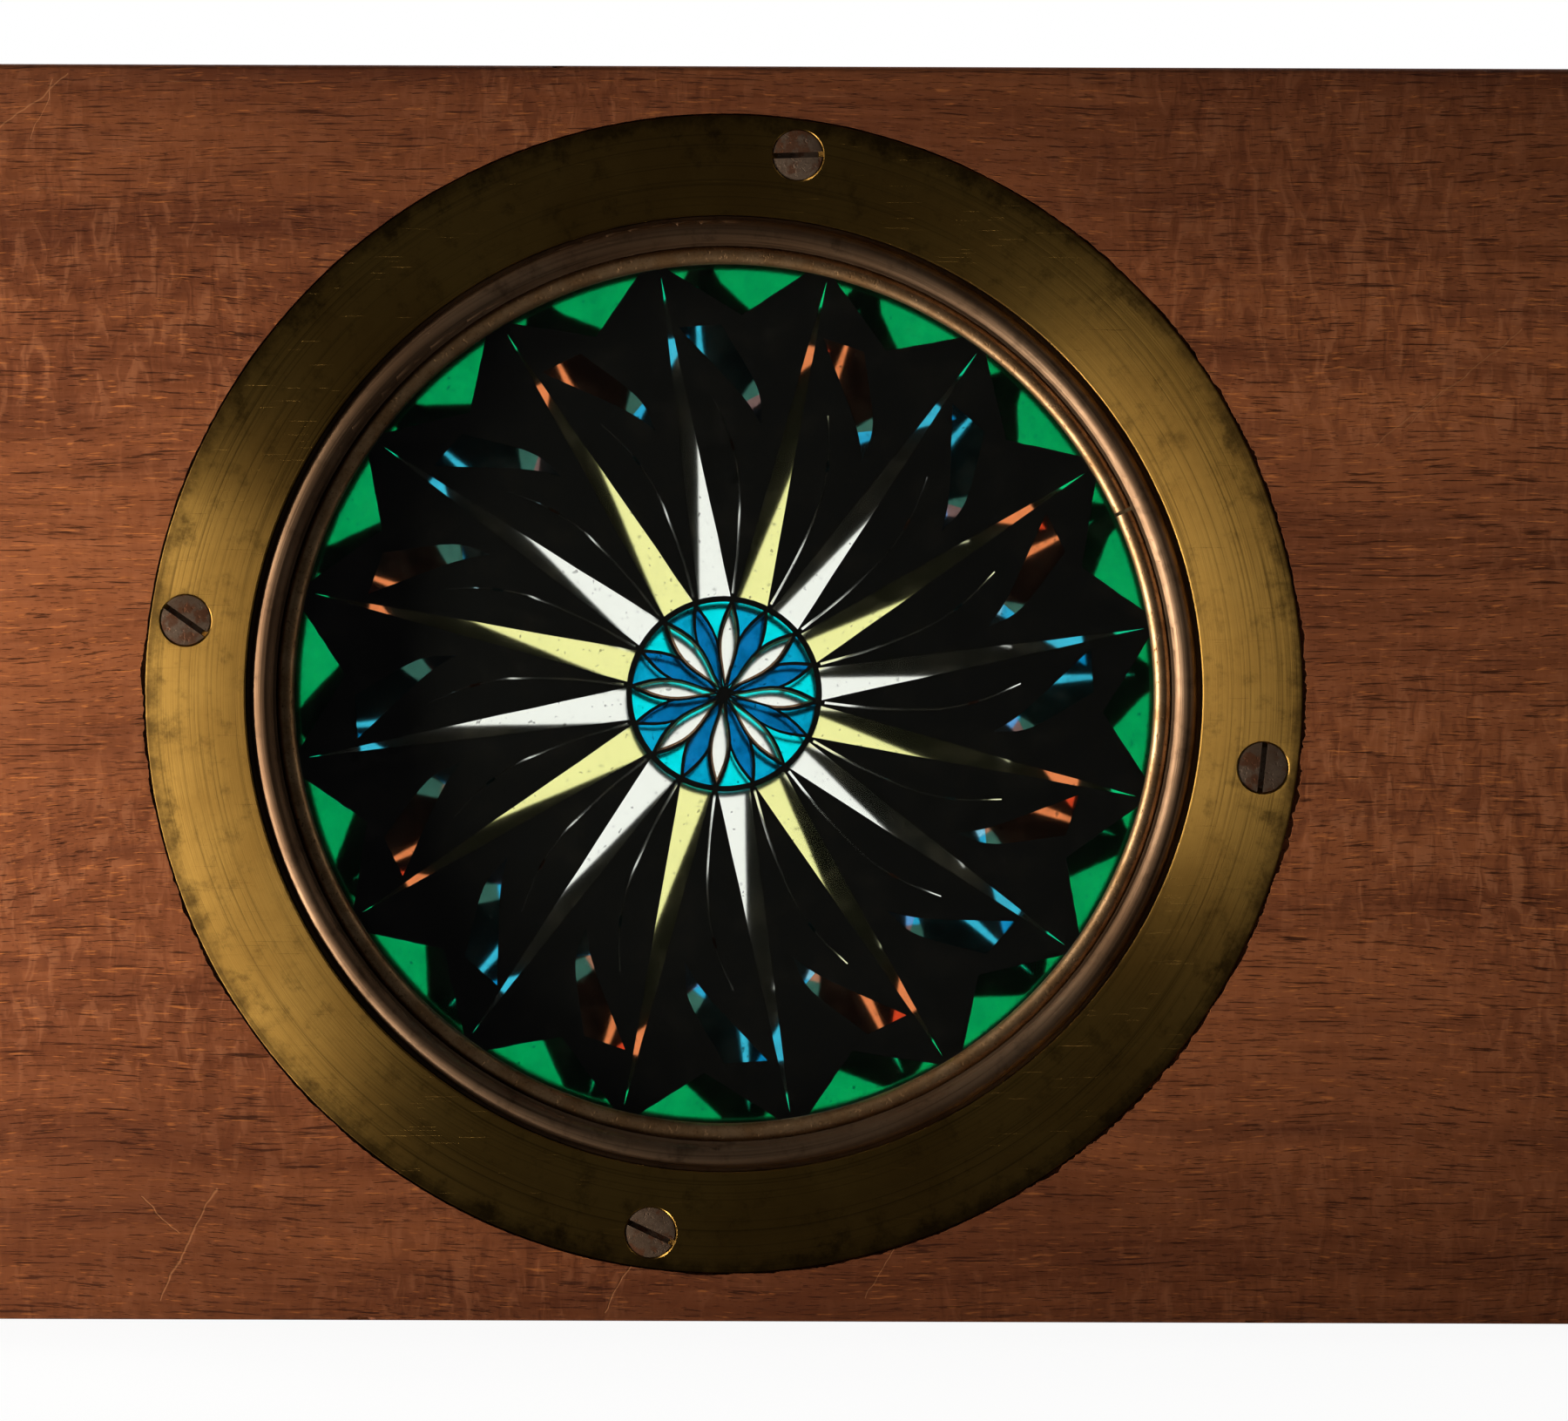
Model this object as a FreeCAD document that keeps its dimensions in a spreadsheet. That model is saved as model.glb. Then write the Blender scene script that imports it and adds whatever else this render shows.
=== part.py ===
import FreeCAD, Part
import math
import os
import re
import Sketcher

# Mechanical lantern slide: two painted glass discs in brass cells that turn against each other.
# Row frame: X along the board, Y through it with the front towards -Y, Z up.
# Its origin is the middle of the bottom edge, below the optical axis.

SIZES = [
    ("board_length", 177.8, "seven inches, along X"),
    ("board_height", 101.6, "four inches, the width of a standard lantern stage"),
    ("board_thickness", 19.0, "three quarters of an inch"),
    ("board_edge_round", 0.5, "arris round on all edges of the board"),
    ("cover_thickness", 1.6, "sheet that the cover rings are turned from"),
    ("cover_edge", 2.85, "brass outside the screw circle"),
    ("cover_chamfer", 0.15, "broken edges of the cover rings"),
    ("inlay_clearance", 0.1, "between the cover ring and the wall of its recess"),
    ("cavity_clearance", 0.4, "between the crown teeth and the wood"),
    ("screw_wall", 2.0, "from the wall of the cavity to the screw circle"),
    ("screw_angle", -7.6, "turn of the first ring screw below the crank side"),
    ("screw_head_r", 2.05, "countersunk head of a wood screw"),
    ("screw_head_depth", 1.15, "height of the cone under the head"),
    ("screw_shank_r", 1.0, "shank of a wood screw"),
    ("screw_length", 5.0, "ring screw, head to point"),
    ("screw_point", 1.4, "length of the pointed end"),
    ("screw_clearance", 0.05, "round a screw in its hole"),
    ("slot_width", 0.5, "driver slot"),
    ("slot_depth", 0.55, "driver slot"),
    ("glass_r", 36.1, "painted disc"),
    ("glass_thickness", 1.6, "painted disc"),
    ("glass_chamfer", 0.2, "ground edge of a disc"),
    ("glass_depth", 2.5, "front of the glass below the face of the board"),
    ("glass_clearance", 0.35, "round the disc in its cell"),
    ("wire_r", 0.75, "section of the split ring that holds a disc"),
    ("wire_clearance", 0.07, "between the wire and the bore it springs into"),
    ("wire_hold", 0.15, "how far the mouth of the cell closes over the wire"),
    ("wire_gap", 0.3, "open butt joint of the split ring"),
    ("wire_joint_angle", 24.7, "where the joint lies at rest"),
    ("mouth_width", 0.2, "flat between the mouth of the cell and its bead"),
    ("mouth_drop", 0.75, "that flat below the face of the board"),
    ("bead_r", 0.95, "half-round bead on the rim of a cell"),
    ("bead_drop", 0.05, "top of the bead below the face of the board"),
    ("running_gap", 0.36, "open gap between the bead and the cover ring"),
    ("land_height", 0.5, "bearing land inside the cover ring"),
    ("land_clearance", 0.08, "radial running fit of a cell in its cover ring"),
    ("end_float", 0.1, "axial play of a cell under its cover ring"),
    ("seat_width", 1.2, "lip that a disc rests on"),
    ("seat_thickness", 0.8, "lip that a disc rests on"),
    ("barrel_wall", 1.6, "sleeve that closes the light way off from the gears"),
    ("barrel_gap", 0.15, "end of the sleeve from the middle of the board"),
    ("gear_module", 0.8, "pinion and both crowns"),
    ("pinion_teeth", 12, "even, so that it meshes with both crowns"),
    ("crown_offset", 2.0, "pitch circle of the crown outside the cover ring's bore"),
    ("crown_inside", 1.5, "tooth length inside the pitch circle"),
    ("crown_outside", 0.8, "tooth length outside the pitch circle"),
    ("tooth_share", 0.39, "tooth thickness in pitches, under half for free backlash"),
    ("crown_addendum", 0.875, "tip above the pitch line of a crown, in modules"),
    ("crown_dedendum", 1.375, "root below the pitch line of a crown, in modules"),
    ("pinion_addendum", 1.0, "tip above the pitch line of the pinion, in modules"),
    ("pinion_dedendum", 1.25, "root below the pitch line of the pinion, in modules"),
    ("tooth_slope", 0.36, "tangent of the flank angle, about twenty degrees"),
    ("relief_width", 0.7, "groove between the crown teeth and the sleeve"),
    ("pinion_gap", 0.8, "pinion from the sleeve of the cells"),
    ("pinion_overhang", 0.8, "pinion teeth past the crown teeth"),
    ("hub_length", 4.0, "plain hub of the pinion"),
    ("pin_r", 0.6, "cross pin of the pinion"),
    ("pin_clearance", 0.03, "round the cross pin"),
    ("shaft_r", 2.0, "crank shaft"),
    ("shaft_running_clearance", 0.05, "radial, in the bush and the end plate"),
    ("shaft_seat_clearance", 0.03, "radial, in what is fixed on the shaft"),
    ("bore_clearance", 0.6, "round the pinion in the hole that it is put in by"),
    ("bush_clearance", 0.05, "bush and spigot in the wood"),
    ("bush_length", 6.0, "inner bush"),
    ("bush_gap", 0.3, "between the pinion hub and the bush"),
    ("plate_width", 15.0, "end plate, along Y"),
    ("plate_height", 34.0, "end plate, along Z"),
    ("plate_thickness", 1.5, "end plate"),
    ("plate_corner", 7.2, "rounded ends of the plate"),
    ("plate_screw_offset", 12.0, "plate screws from the shaft"),
    ("plate_screw_length", 8.0, "plate screw, head to point"),
    ("boss_r", 5.0, "boss of the end plate"),
    ("boss_height", 3.0, "boss of the end plate"),
    ("spigot_length", 4.0, "spigot of the end plate in the wood"),
    ("washer_r", 3.6, "thrust washer"),
    ("washer_thickness", 0.6, "thrust washer"),
    ("washer_gap", 0.1, "between the boss and the washer"),
    ("square_width", 2.7, "squared end of the shaft"),
    ("square_clearance", 0.04, "arm on the squared end, each side"),
    ("stud_r", 1.2, "threaded end of the shaft"),
    ("stud_length", 2.9, "threaded end of the shaft"),
    ("nut_r", 2.9, "nut on the shaft, across its corners"),
    ("nut_thickness", 2.1, "nut on the shaft"),
    ("crank_throw", 20.0, "shaft to knob"),
    ("arm_thickness", 2.0, "crank arm"),
    ("arm_hub_r", 4.6, "round end of the arm at the shaft"),
    ("arm_tip_r", 3.6, "round end of the arm at the knob"),
    ("spindle_r", 1.5, "spindle that the knob turns on"),
    ("rivet_r", 1.2, "neck of the spindle through the arm"),
    ("rivet_head_r", 2.2, "riveted head behind the arm"),
    ("rivet_head_height", 0.6, "riveted head behind the arm"),
    ("spindle_head_r", 2.4, "head that keeps the knob on"),
    ("spindle_head_height", 0.9, "head that keeps the knob on"),
    ("knob_running_clearance", 0.08, "radial, knob on its spindle"),
    ("knob_gap", 0.3, "between the arm and the knob, and the knob and the head"),
    ("knob_length", 13.0, "turned wooden knob"),
    ("knob_neck_r", 3.4, "foot of the knob"),
    ("knob_waist_r", 2.9, "waist of the knob"),
    ("knob_belly_r", 5.4, "widest part of the knob"),
    ("knob_end_r", 3.2, "flat end of the knob"),
    ("knob_foot_height", 1.6, "foot of the knob"),
    ("knob_waist_height", 3.2, "waist of the knob above its foot"),
    ("knob_curve_r", 5.9, "crown of the knob, from the belly to its end"),
    ("knob_hollow_r", 9.0, "hollow from the waist to the belly"),
]

# The front assembly is built about its own axis: local Z is the distance from the middle of the
# board towards the front, and the rear one is the same assembly turned half round.
FACE = "(board_thickness / 2)"
COVER_BACK = f"({FACE} - cover_thickness)"
GLASS_FRONT = f"({FACE} - glass_depth)"
GLASS_BACK = f"({GLASS_FRONT} - glass_thickness)"
WEB_TOP = f"({COVER_BACK} - end_float)"
SEAT_BOTTOM = f"({GLASS_BACK} - seat_thickness)"
CELL_BORE_R = "(glass_r + glass_clearance)"
MOUTH_R = f"({CELL_BORE_R} - wire_hold)"
WIRE_TOP = f"({GLASS_FRONT} + 2 * wire_r)"
WIRE_CENTRE_R = f"({CELL_BORE_R} - wire_clearance - wire_r)"
SEAT_R = f"({CELL_BORE_R} - seat_width - glass_clearance)"
BEAD_CENTRE_R = f"({MOUTH_R} + mouth_width + bead_r)"
BEAD_CENTRE = f"({FACE} - bead_drop - bead_r)"
NOSE_R = f"({BEAD_CENTRE_R} + bead_r)"
COVER_INNER_R = f"({NOSE_R} + running_gap)"
LAND_R = f"({COVER_INNER_R} - land_clearance)"
LAND_TOP = f"({COVER_BACK} + land_height)"

# A whole even number of crown teeth, so that both crowns have a gap on the pinion's side.
CROWN_TEETH = f"(2 * round(({COVER_INNER_R} + crown_offset) / gear_module))"
CROWN_PITCH_R = f"({CROWN_TEETH} * gear_module / 2)"
CROWN_INNER_R = f"({CROWN_PITCH_R} - crown_inside)"
CROWN_OUTER_R = f"({CROWN_PITCH_R} + crown_outside)"
BARREL_R = f"({CROWN_INNER_R} - relief_width)"
BARREL_BORE_R = f"({BARREL_R} - barrel_wall)"
PINION_PITCH_R = "(pinion_teeth * gear_module / 2)"
PINION_TIP_R = f"({PINION_PITCH_R} + pinion_addendum * gear_module)"
PINION_ROOT_R = f"({PINION_PITCH_R} - pinion_dedendum * gear_module)"
TOOTH_WIDTH = "(tooth_share * pi * gear_module)"
TOOTH_TIP = f"({PINION_PITCH_R} - crown_addendum * gear_module)"
TOOTH_ROOT = f"({PINION_PITCH_R} + crown_dedendum * gear_module)"
BORE_R = f"({PINION_TIP_R} + bore_clearance)"
CAVITY_R = f"({CROWN_OUTER_R} + cavity_clearance)"
SCREW_CIRCLE_R = f"({CAVITY_R} + screw_wall)"
COVER_OUTER_R = f"({SCREW_CIRCLE_R} + cover_edge)"
RECESS_R = f"({COVER_OUTER_R} + inlay_clearance)"

# Stations along the crank shaft, measured from the optical axis.
PINION_START = f"({BARREL_R} + pinion_gap)"
TEETH_END = f"({CROWN_OUTER_R} + pinion_overhang)"
HUB_END = f"({TEETH_END} + hub_length)"
BUSH_START = f"({HUB_END} + bush_gap)"
BOARD_END = "(board_length / 2)"
PLATE_OUT = f"({BOARD_END} + plate_thickness)"
BOSS_OUT = f"({PLATE_OUT} + boss_height)"
WASHER_START = f"({BOSS_OUT} + washer_gap)"
ARM_START = f"({WASHER_START} + washer_thickness)"
ARM_OUT = f"({ARM_START} + arm_thickness)"
KNOB_START = f"({ARM_OUT} + knob_gap)"
KNOB_END = f"({KNOB_START} + knob_length)"
AXIS_HEIGHT = "(board_height / 2)"

FRONT = FreeCAD.Rotation(FreeCAD.Vector(1, 0, 0), 90)
REAR = FreeCAD.Rotation(FreeCAD.Vector(0, 0, 1), 180).multiply(FRONT)
ALONG_SHAFT = FreeCAD.Rotation(FreeCAD.Vector(0, 1, 0), 90)
UPRIGHT = FreeCAD.Rotation()

# Where the driver slots lie at rest, one for each ring screw from the crank side upwards.
FRONT_SLOTS = (84, 2, -35, -25)
REAR_SLOTS = (20, -50, 75, 10)
PLATE_SLOTS = (15, -40)

doc = FreeCAD.newDocument("lantern_slide")
sheet = doc.addObject("Spreadsheet::Sheet", "sizes")
ALIAS = re.compile(r"\b(" + "|".join(name for name, _, _ in SIZES) + r")\b")


def fill_sheet():
    """One row for each driving dimension: meaning, value and the value's name."""
    for row, (name, size, meaning) in enumerate(SIZES, start=1):
        sheet.set(f"A{row}", meaning)
        sheet.set(f"B{row}", str(size))
        sheet.setAlias(f"B{row}", name)
    doc.recompute()


def number(expression):
    """The present value of an expression in the sheet's names."""
    return float(sheet.evalExpression(expression))


def bind(target, prop, expression):
    """Tie a property to the sheet, so that it follows a changed size."""
    target.setExpression(prop, ALIAS.sub(r"sizes.\1", expression))


def place(target, rotation, x="0", y="0", z="0"):
    """Put a sub-part in the row frame; y and z count from the optical axis."""
    target.Placement = FreeCAD.Placement(FreeCAD.Vector(), rotation)
    bind(target, "Placement.Base.x", x)
    bind(target, "Placement.Base.y", y)
    bind(target, "Placement.Base.z", f"{AXIS_HEIGHT} + {z}")


def new_body(label):
    body = doc.addObject("PartDesign::Body", label)
    body.Label = label
    return body


def new_sketch(body, name, role, lift="0", across="0", up="0"):
    """A sketch on one of the body's own planes, lifted along the plane's normal."""
    plane = next(f for f in body.Origin.OriginFeatures if f.Role == role)
    sketch = body.newObject("Sketcher::SketchObject", name)
    sketch.AttachmentSupport = [(plane, "")]
    sketch.MapMode = "FlatFace"
    bind(sketch, "AttachmentOffset.Base.x", across)
    bind(sketch, "AttachmentOffset.Base.y", up)
    bind(sketch, "AttachmentOffset.Base.z", lift)
    return sketch


def pin_point(sketch, geometry, point, x, y):
    """Fix a point of the sketch at two expressions, measured from the sketch's origin."""
    for kind, axis, expression in (("DistanceX", -2, x), ("DistanceY", -1, y)):
        if expression == "0":
            sketch.addConstraint(Sketcher.Constraint("PointOnObject", geometry, point, axis))
        else:
            rule = Sketcher.Constraint(kind, -1, 1, geometry, point, number(expression))
            index = sketch.addConstraint(rule)
            bind(sketch, f"Constraints[{index}]", expression)


def arc_between(start, end, radius, side):
    """A short arc; side is 1 where its centre is to the left of the way from start to end."""
    chord = end - start
    height = math.sqrt(radius * radius - chord.Length * chord.Length / 4)
    left = FreeCAD.Vector(-chord.y, chord.x, 0).normalize()
    centre = (start + end) * 0.5 + left * (height * side)
    first, last = (start, end) if side > 0 else (end, start)
    begin = math.atan2(first.y - centre.y, first.x - centre.x)
    finish = math.atan2(last.y - centre.y, last.x - centre.x)
    if finish < begin:
        finish += 2 * math.pi
    return Part.ArcOfCircle(Part.Circle(centre, FreeCAD.Vector(0, 0, 1), radius), begin, finish)


def outline(sketch, corners):
    """A closed outline; a corner is (x, y), or (x, y, radius, side) where an arc leaves it."""
    points = [FreeCAD.Vector(number(c[0]), number(c[1]), 0) for c in corners]
    count = len(corners)
    ends = []
    for i, corner in enumerate(corners):
        start, end = points[i], points[(i + 1) % count]
        if len(corner) == 2:
            sketch.addGeometry(Part.LineSegment(start, end), False)
            ends.append((1, 2))
        else:
            radius, side = corner[2:]
            sketch.addGeometry(arc_between(start, end, number(radius), side), False)
            ends.append((1, 2) if side > 0 else (2, 1))
            rule = sketch.addConstraint(Sketcher.Constraint("Radius", i, number(radius)))
            bind(sketch, f"Constraints[{rule}]", radius)
    for i in range(count):
        after = (i + 1) % count
        rule = Sketcher.Constraint("Coincident", i, ends[i][1], after, ends[after][0])
        sketch.addConstraint(rule)
    for i, corner in enumerate(corners):
        pin_point(sketch, i, ends[i][0], corner[0], corner[1])


def box_outline(sketch, half_width, half_height):
    """A rectangle about the sketch's origin."""
    right, top = f"({half_width})", f"({half_height})"
    left, bottom = f"-{right}", f"-{top}"
    outline(sketch, [(left, bottom), (right, bottom), (right, top), (left, top)])


def circle(sketch, radius, x="0", y="0"):
    """A circle with its centre and radius tied to the sheet."""
    centre = FreeCAD.Vector(number(x), number(y), 0)
    geometry = Part.Circle(centre, FreeCAD.Vector(0, 0, 1), number(radius))
    index = sketch.addGeometry(geometry, False)
    pin_point(sketch, index, 3, x, y)
    rule = sketch.addConstraint(Sketcher.Constraint("Radius", index, number(radius)))
    bind(sketch, f"Constraints[{rule}]", radius)


def extrude(body, kind, sketch, length, reverse=False, symmetric=False):
    """A Pad or a Pocket; a Pocket goes against the sketch's normal unless it is reversed."""
    feature = body.newObject(f"PartDesign::{kind}", f"{sketch.Name}_{kind.lower()}")
    feature.Profile = sketch
    bind(feature, "Length", length)
    feature.Reversed = reverse
    feature.Midplane = symmetric
    sketch.Visibility = False
    body.Tip = feature
    return feature


def spin(body, kind, sketch):
    """A Revolution or a Groove about the sketch's own vertical axis."""
    feature = body.newObject(f"PartDesign::{kind}", f"{sketch.Name}_{kind.lower()}")
    feature.Profile = sketch
    feature.ReferenceAxis = (sketch, ["V_Axis"])
    feature.Angle = 360
    sketch.Visibility = False
    body.Tip = feature
    return feature


def round_pattern(body, original, role, count):
    """Repeats a feature evenly round one of the body's axes."""
    axis = next(f for f in body.Origin.OriginFeatures if f.Role == role)
    pattern = body.newObject("PartDesign::PolarPattern", f"{original.Name}_round")
    pattern.Originals = [original]
    pattern.Axis = (axis, [""])
    pattern.Angle = 360
    bind(pattern, "Occurrences", count)
    body.Tip = pattern
    return pattern


def mirror_pattern(body, original, role):
    """Repeats a feature on the other side of one of the body's planes."""
    plane = next(f for f in body.Origin.OriginFeatures if f.Role == role)
    pattern = body.newObject("PartDesign::Mirrored", f"{original.Name}_mirrored")
    pattern.Originals = [original]
    pattern.MirrorPlane = (plane, [""])
    body.Tip = pattern
    return pattern


def soften(body, kind, edges, size):
    """A Fillet or a Chamfer on the named edges of the body's last feature."""
    base = body.Tip
    feature = body.newObject(f"PartDesign::{kind}", f"{body.Name}_{kind.lower()}")
    feature.Base = (base, edges)
    bind(feature, "Radius" if kind == "Fillet" else "Size", size)
    body.Tip = feature
    return feature


def edges_where(body, test):
    """Names of the edges of the body's last feature that pass a test."""
    doc.recompute()
    return [f"Edge{i}" for i, e in enumerate(body.Tip.Shape.Edges, start=1) if test(e)]


def screw_hole(body, name, role, face, across, aside, depth):
    """A countersunk hole: the head's cone, then a straight hole to the given depth."""
    sketch = new_sketch(body, name, role, lift=aside, across=across)
    head = "(screw_head_r + screw_clearance)"
    shank = "(screw_shank_r + screw_clearance)"
    under = f"({face} - screw_head_depth)"
    corners = [("0", face), (head, face), (shank, under), (shank, f"({face} - {depth})"),
               ("0", f"({face} - {depth})")]
    outline(sketch, corners)
    return spin(body, "Groove", sketch)


def make_board():
    """The mahogany board: recesses for both cover rings, the cavity and the shaft's bore."""
    body = new_body("mahogany_frame")
    blank = new_sketch(body, "board_face", "XZ_Plane")
    box_outline(blank, BOARD_END, AXIS_HEIGHT)
    extrude(body, "Pad", blank, "board_thickness", symmetric=True)
    soften(body, "Fillet", edges_where(body, lambda e: True), "board_edge_round")

    cavity = new_sketch(body, "cavity", "XZ_Plane", lift=FACE)
    circle(cavity, CAVITY_R)
    extrude(body, "Pocket", cavity, "board_thickness")
    for name, lift, reverse in (("front_recess", FACE, False), ("rear_recess", f"-{FACE}", True)):
        recess = new_sketch(body, name, "XZ_Plane", lift=lift)
        circle(recess, RECESS_R)
        extrude(body, "Pocket", recess, "cover_thickness", reverse=reverse)

    bore = new_sketch(body, "shaft_bore", "YZ_Plane", lift=BOARD_END)
    circle(bore, BORE_R)
    extrude(body, "Pocket", bore, f"{BOARD_END} - {CAVITY_R} + {BORE_R}")

    # The pilot holes of the ring screws go down from the floors of the recesses.
    pilot_depth = "(screw_length - cover_thickness + 2 * screw_clearance)"
    for side, lift, turn, reverse in (("front", COVER_BACK, "screw_angle", False),
                                      ("rear", f"-{COVER_BACK}", "(180 - screw_angle)", True)):
        pilot = new_sketch(body, f"{side}_pilots", "XZ_Plane", lift=lift)
        circle(pilot, "screw_shank_r + screw_clearance",
               f"{SCREW_CIRCLE_R} * cos({turn})", f"{SCREW_CIRCLE_R} * sin({turn})")
        hole = extrude(body, "Pocket", pilot, pilot_depth, reverse=reverse)
        round_pattern(body, hole, "Y_Axis", "4")

    plate_pilot = new_sketch(body, "plate_pilots", "YZ_Plane", lift=BOARD_END)
    circle(plate_pilot, "screw_shank_r + screw_clearance", "0", "plate_screw_offset")
    hole = extrude(body, "Pocket", plate_pilot,
                   "plate_screw_length - plate_thickness + 2 * screw_clearance")
    mirror_pattern(body, hole, "XY_Plane")
    place(body, UPRIGHT)


def make_cover_ring(side, rotation):
    """A flat brass ring with four countersunk holes, flush in the wood."""
    body = new_body(f"{side}_cover_ring")
    section = new_sketch(body, f"{side}_cover_section", "XZ_Plane")
    outline(section, [
        (COVER_INNER_R, COVER_BACK),
        (COVER_OUTER_R, COVER_BACK),
        (COVER_OUTER_R, f"({FACE} - cover_chamfer)"),
        (f"({COVER_OUTER_R} - cover_chamfer)", FACE),
        (f"({COVER_INNER_R} + cover_chamfer)", FACE),
        (COVER_INNER_R, f"({FACE} - cover_chamfer)"),
    ])
    spin(body, "Revolution", section)
    across = f"{SCREW_CIRCLE_R} * cos(screw_angle)"
    aside = f"-{SCREW_CIRCLE_R} * sin(screw_angle)"
    depth = "(cover_thickness + screw_clearance)"
    hole = screw_hole(body, f"{side}_cover_hole", "XZ_Plane", FACE, across, aside, depth)
    round_pattern(body, hole, "Z_Axis", "4")
    place(body, rotation)


def make_screw(label, length, slot_turn):
    """A slotted countersunk wood screw; its head's face is at local Z = 0."""
    body = new_body(label)
    section = new_sketch(body, f"{label}_section", "XZ_Plane")
    outline(section, [
        ("0", f"-{length}"),
        ("screw_shank_r", f"-({length} - screw_point)"),
        ("screw_shank_r", "-screw_head_depth"),
        ("screw_head_r", "0"),
        ("0", "0"),
    ])
    spin(body, "Revolution", section)
    slot = new_sketch(body, f"{label}_slot", "XY_Plane")
    box_outline(slot, "screw_head_r + slot_width", "slot_width / 2")
    extrude(body, "Pocket", slot, "slot_depth")
    return body, FreeCAD.Rotation(FreeCAD.Vector(0, 0, 1), slot_turn)


def make_ring_screws(side, rotation, slots):
    """Four screws on the screw circle, a quarter turn apart."""
    for quarter, slot_turn in enumerate(slots):
        body, turn = make_screw(f"{side}_ring_screw_{quarter + 1}", "screw_length", slot_turn)
        angle = f"(screw_angle + {90 * quarter})"
        sign = "" if side == "front" else "-"
        place(body, rotation.multiply(turn),
              x=f"{sign}{SCREW_CIRCLE_R} * cos({angle})",
              y=f"{FACE}" if side == "rear" else f"-{FACE}",
              z=f"{SCREW_CIRCLE_R} * sin({angle})")


def make_cell(side, rotation):
    """A turning brass cell: bead, land, crown wheel, seat for the glass and sleeve, in one piece."""
    body = new_body(f"{side}_cell")
    section = new_sketch(body, f"{side}_cell_section", "XZ_Plane")
    outline(section, [
        (SEAT_R, SEAT_BOTTOM),
        (SEAT_R, GLASS_BACK),
        (CELL_BORE_R, GLASS_BACK),
        (CELL_BORE_R, WIRE_TOP),
        (MOUTH_R, WIRE_TOP),
        (MOUTH_R, f"({FACE} - mouth_drop)"),
        (BEAD_CENTRE_R, f"({FACE} - mouth_drop)"),
        (BEAD_CENTRE_R, BEAD_CENTRE),
        (NOSE_R, BEAD_CENTRE),
        (NOSE_R, LAND_TOP),
        (LAND_R, LAND_TOP),
        (LAND_R, WEB_TOP),
        (CROWN_OUTER_R, WEB_TOP),
        (CROWN_OUTER_R, TOOTH_TIP),
        (CROWN_INNER_R, TOOTH_TIP),
        (CROWN_INNER_R, TOOTH_ROOT),
        (BARREL_R, TOOTH_ROOT),
        (BARREL_R, "barrel_gap"),
        (BARREL_BORE_R, "barrel_gap"),
        (BARREL_BORE_R, SEAT_BOTTOM),
    ])
    spin(body, "Revolution", section)
    bead = new_sketch(body, f"{side}_bead_section", "XZ_Plane")
    circle(bead, "bead_r", BEAD_CENTRE_R, BEAD_CENTRE)
    spin(body, "Revolution", bead)

    # One gap between crown teeth, cut outwards from the relief groove, then repeated.
    gap = new_sketch(body, f"{side}_tooth_gap", "YZ_Plane", lift=f"{CROWN_INNER_R} - relief_width / 2")
    half_gap = f"((pi * gear_module - {TOOTH_WIDTH}) / 2)"
    mouth = f"({half_gap} + (crown_addendum * gear_module + relief_width) * tooth_slope)"
    root = f"({half_gap} - crown_dedendum * gear_module * tooth_slope)"
    outline(gap, [
        (f"-{root}", TOOTH_ROOT),
        (f"-{mouth}", f"({TOOTH_TIP} - relief_width)"),
        (mouth, f"({TOOTH_TIP} - relief_width)"),
        (root, TOOTH_ROOT),
    ])
    cut = extrude(body, "Pocket", gap, "crown_inside + crown_outside + relief_width", reverse=True)
    round_pattern(body, cut, "Z_Axis", CROWN_TEETH)
    place(body, rotation)


def make_glass(side, rotation):
    """A round glass with a ground edge, lying on the seat of its cell."""
    body = new_body(f"{side}_glass")
    face = new_sketch(body, f"{side}_glass_face", "XY_Plane", lift=GLASS_BACK)
    circle(face, "glass_r")
    extrude(body, "Pad", face, "glass_thickness")
    soften(body, "Chamfer", edges_where(body, lambda e: len(e.Vertexes) == 1), "glass_chamfer")
    place(body, rotation)


def make_wire_ring(side, rotation):
    """The split ring of round wire that springs into the cell over the glass."""
    ring = doc.addObject("Part::Torus", f"{side}_wire_ring")
    ring.Label = f"{side}_wire_ring"
    bind(ring, "Radius1", WIRE_CENTRE_R)
    bind(ring, "Radius2", "wire_r")
    bind(ring, "Angle3", f"360 - wire_gap / {WIRE_CENTRE_R} * 180 / pi")
    turn = FreeCAD.Rotation(FreeCAD.Vector(0, 0, 1), number("wire_joint_angle"))
    sign = "-" if side == "front" else ""
    place(ring, rotation.multiply(turn), y=f"{sign}({GLASS_FRONT} + wire_r)")


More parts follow.
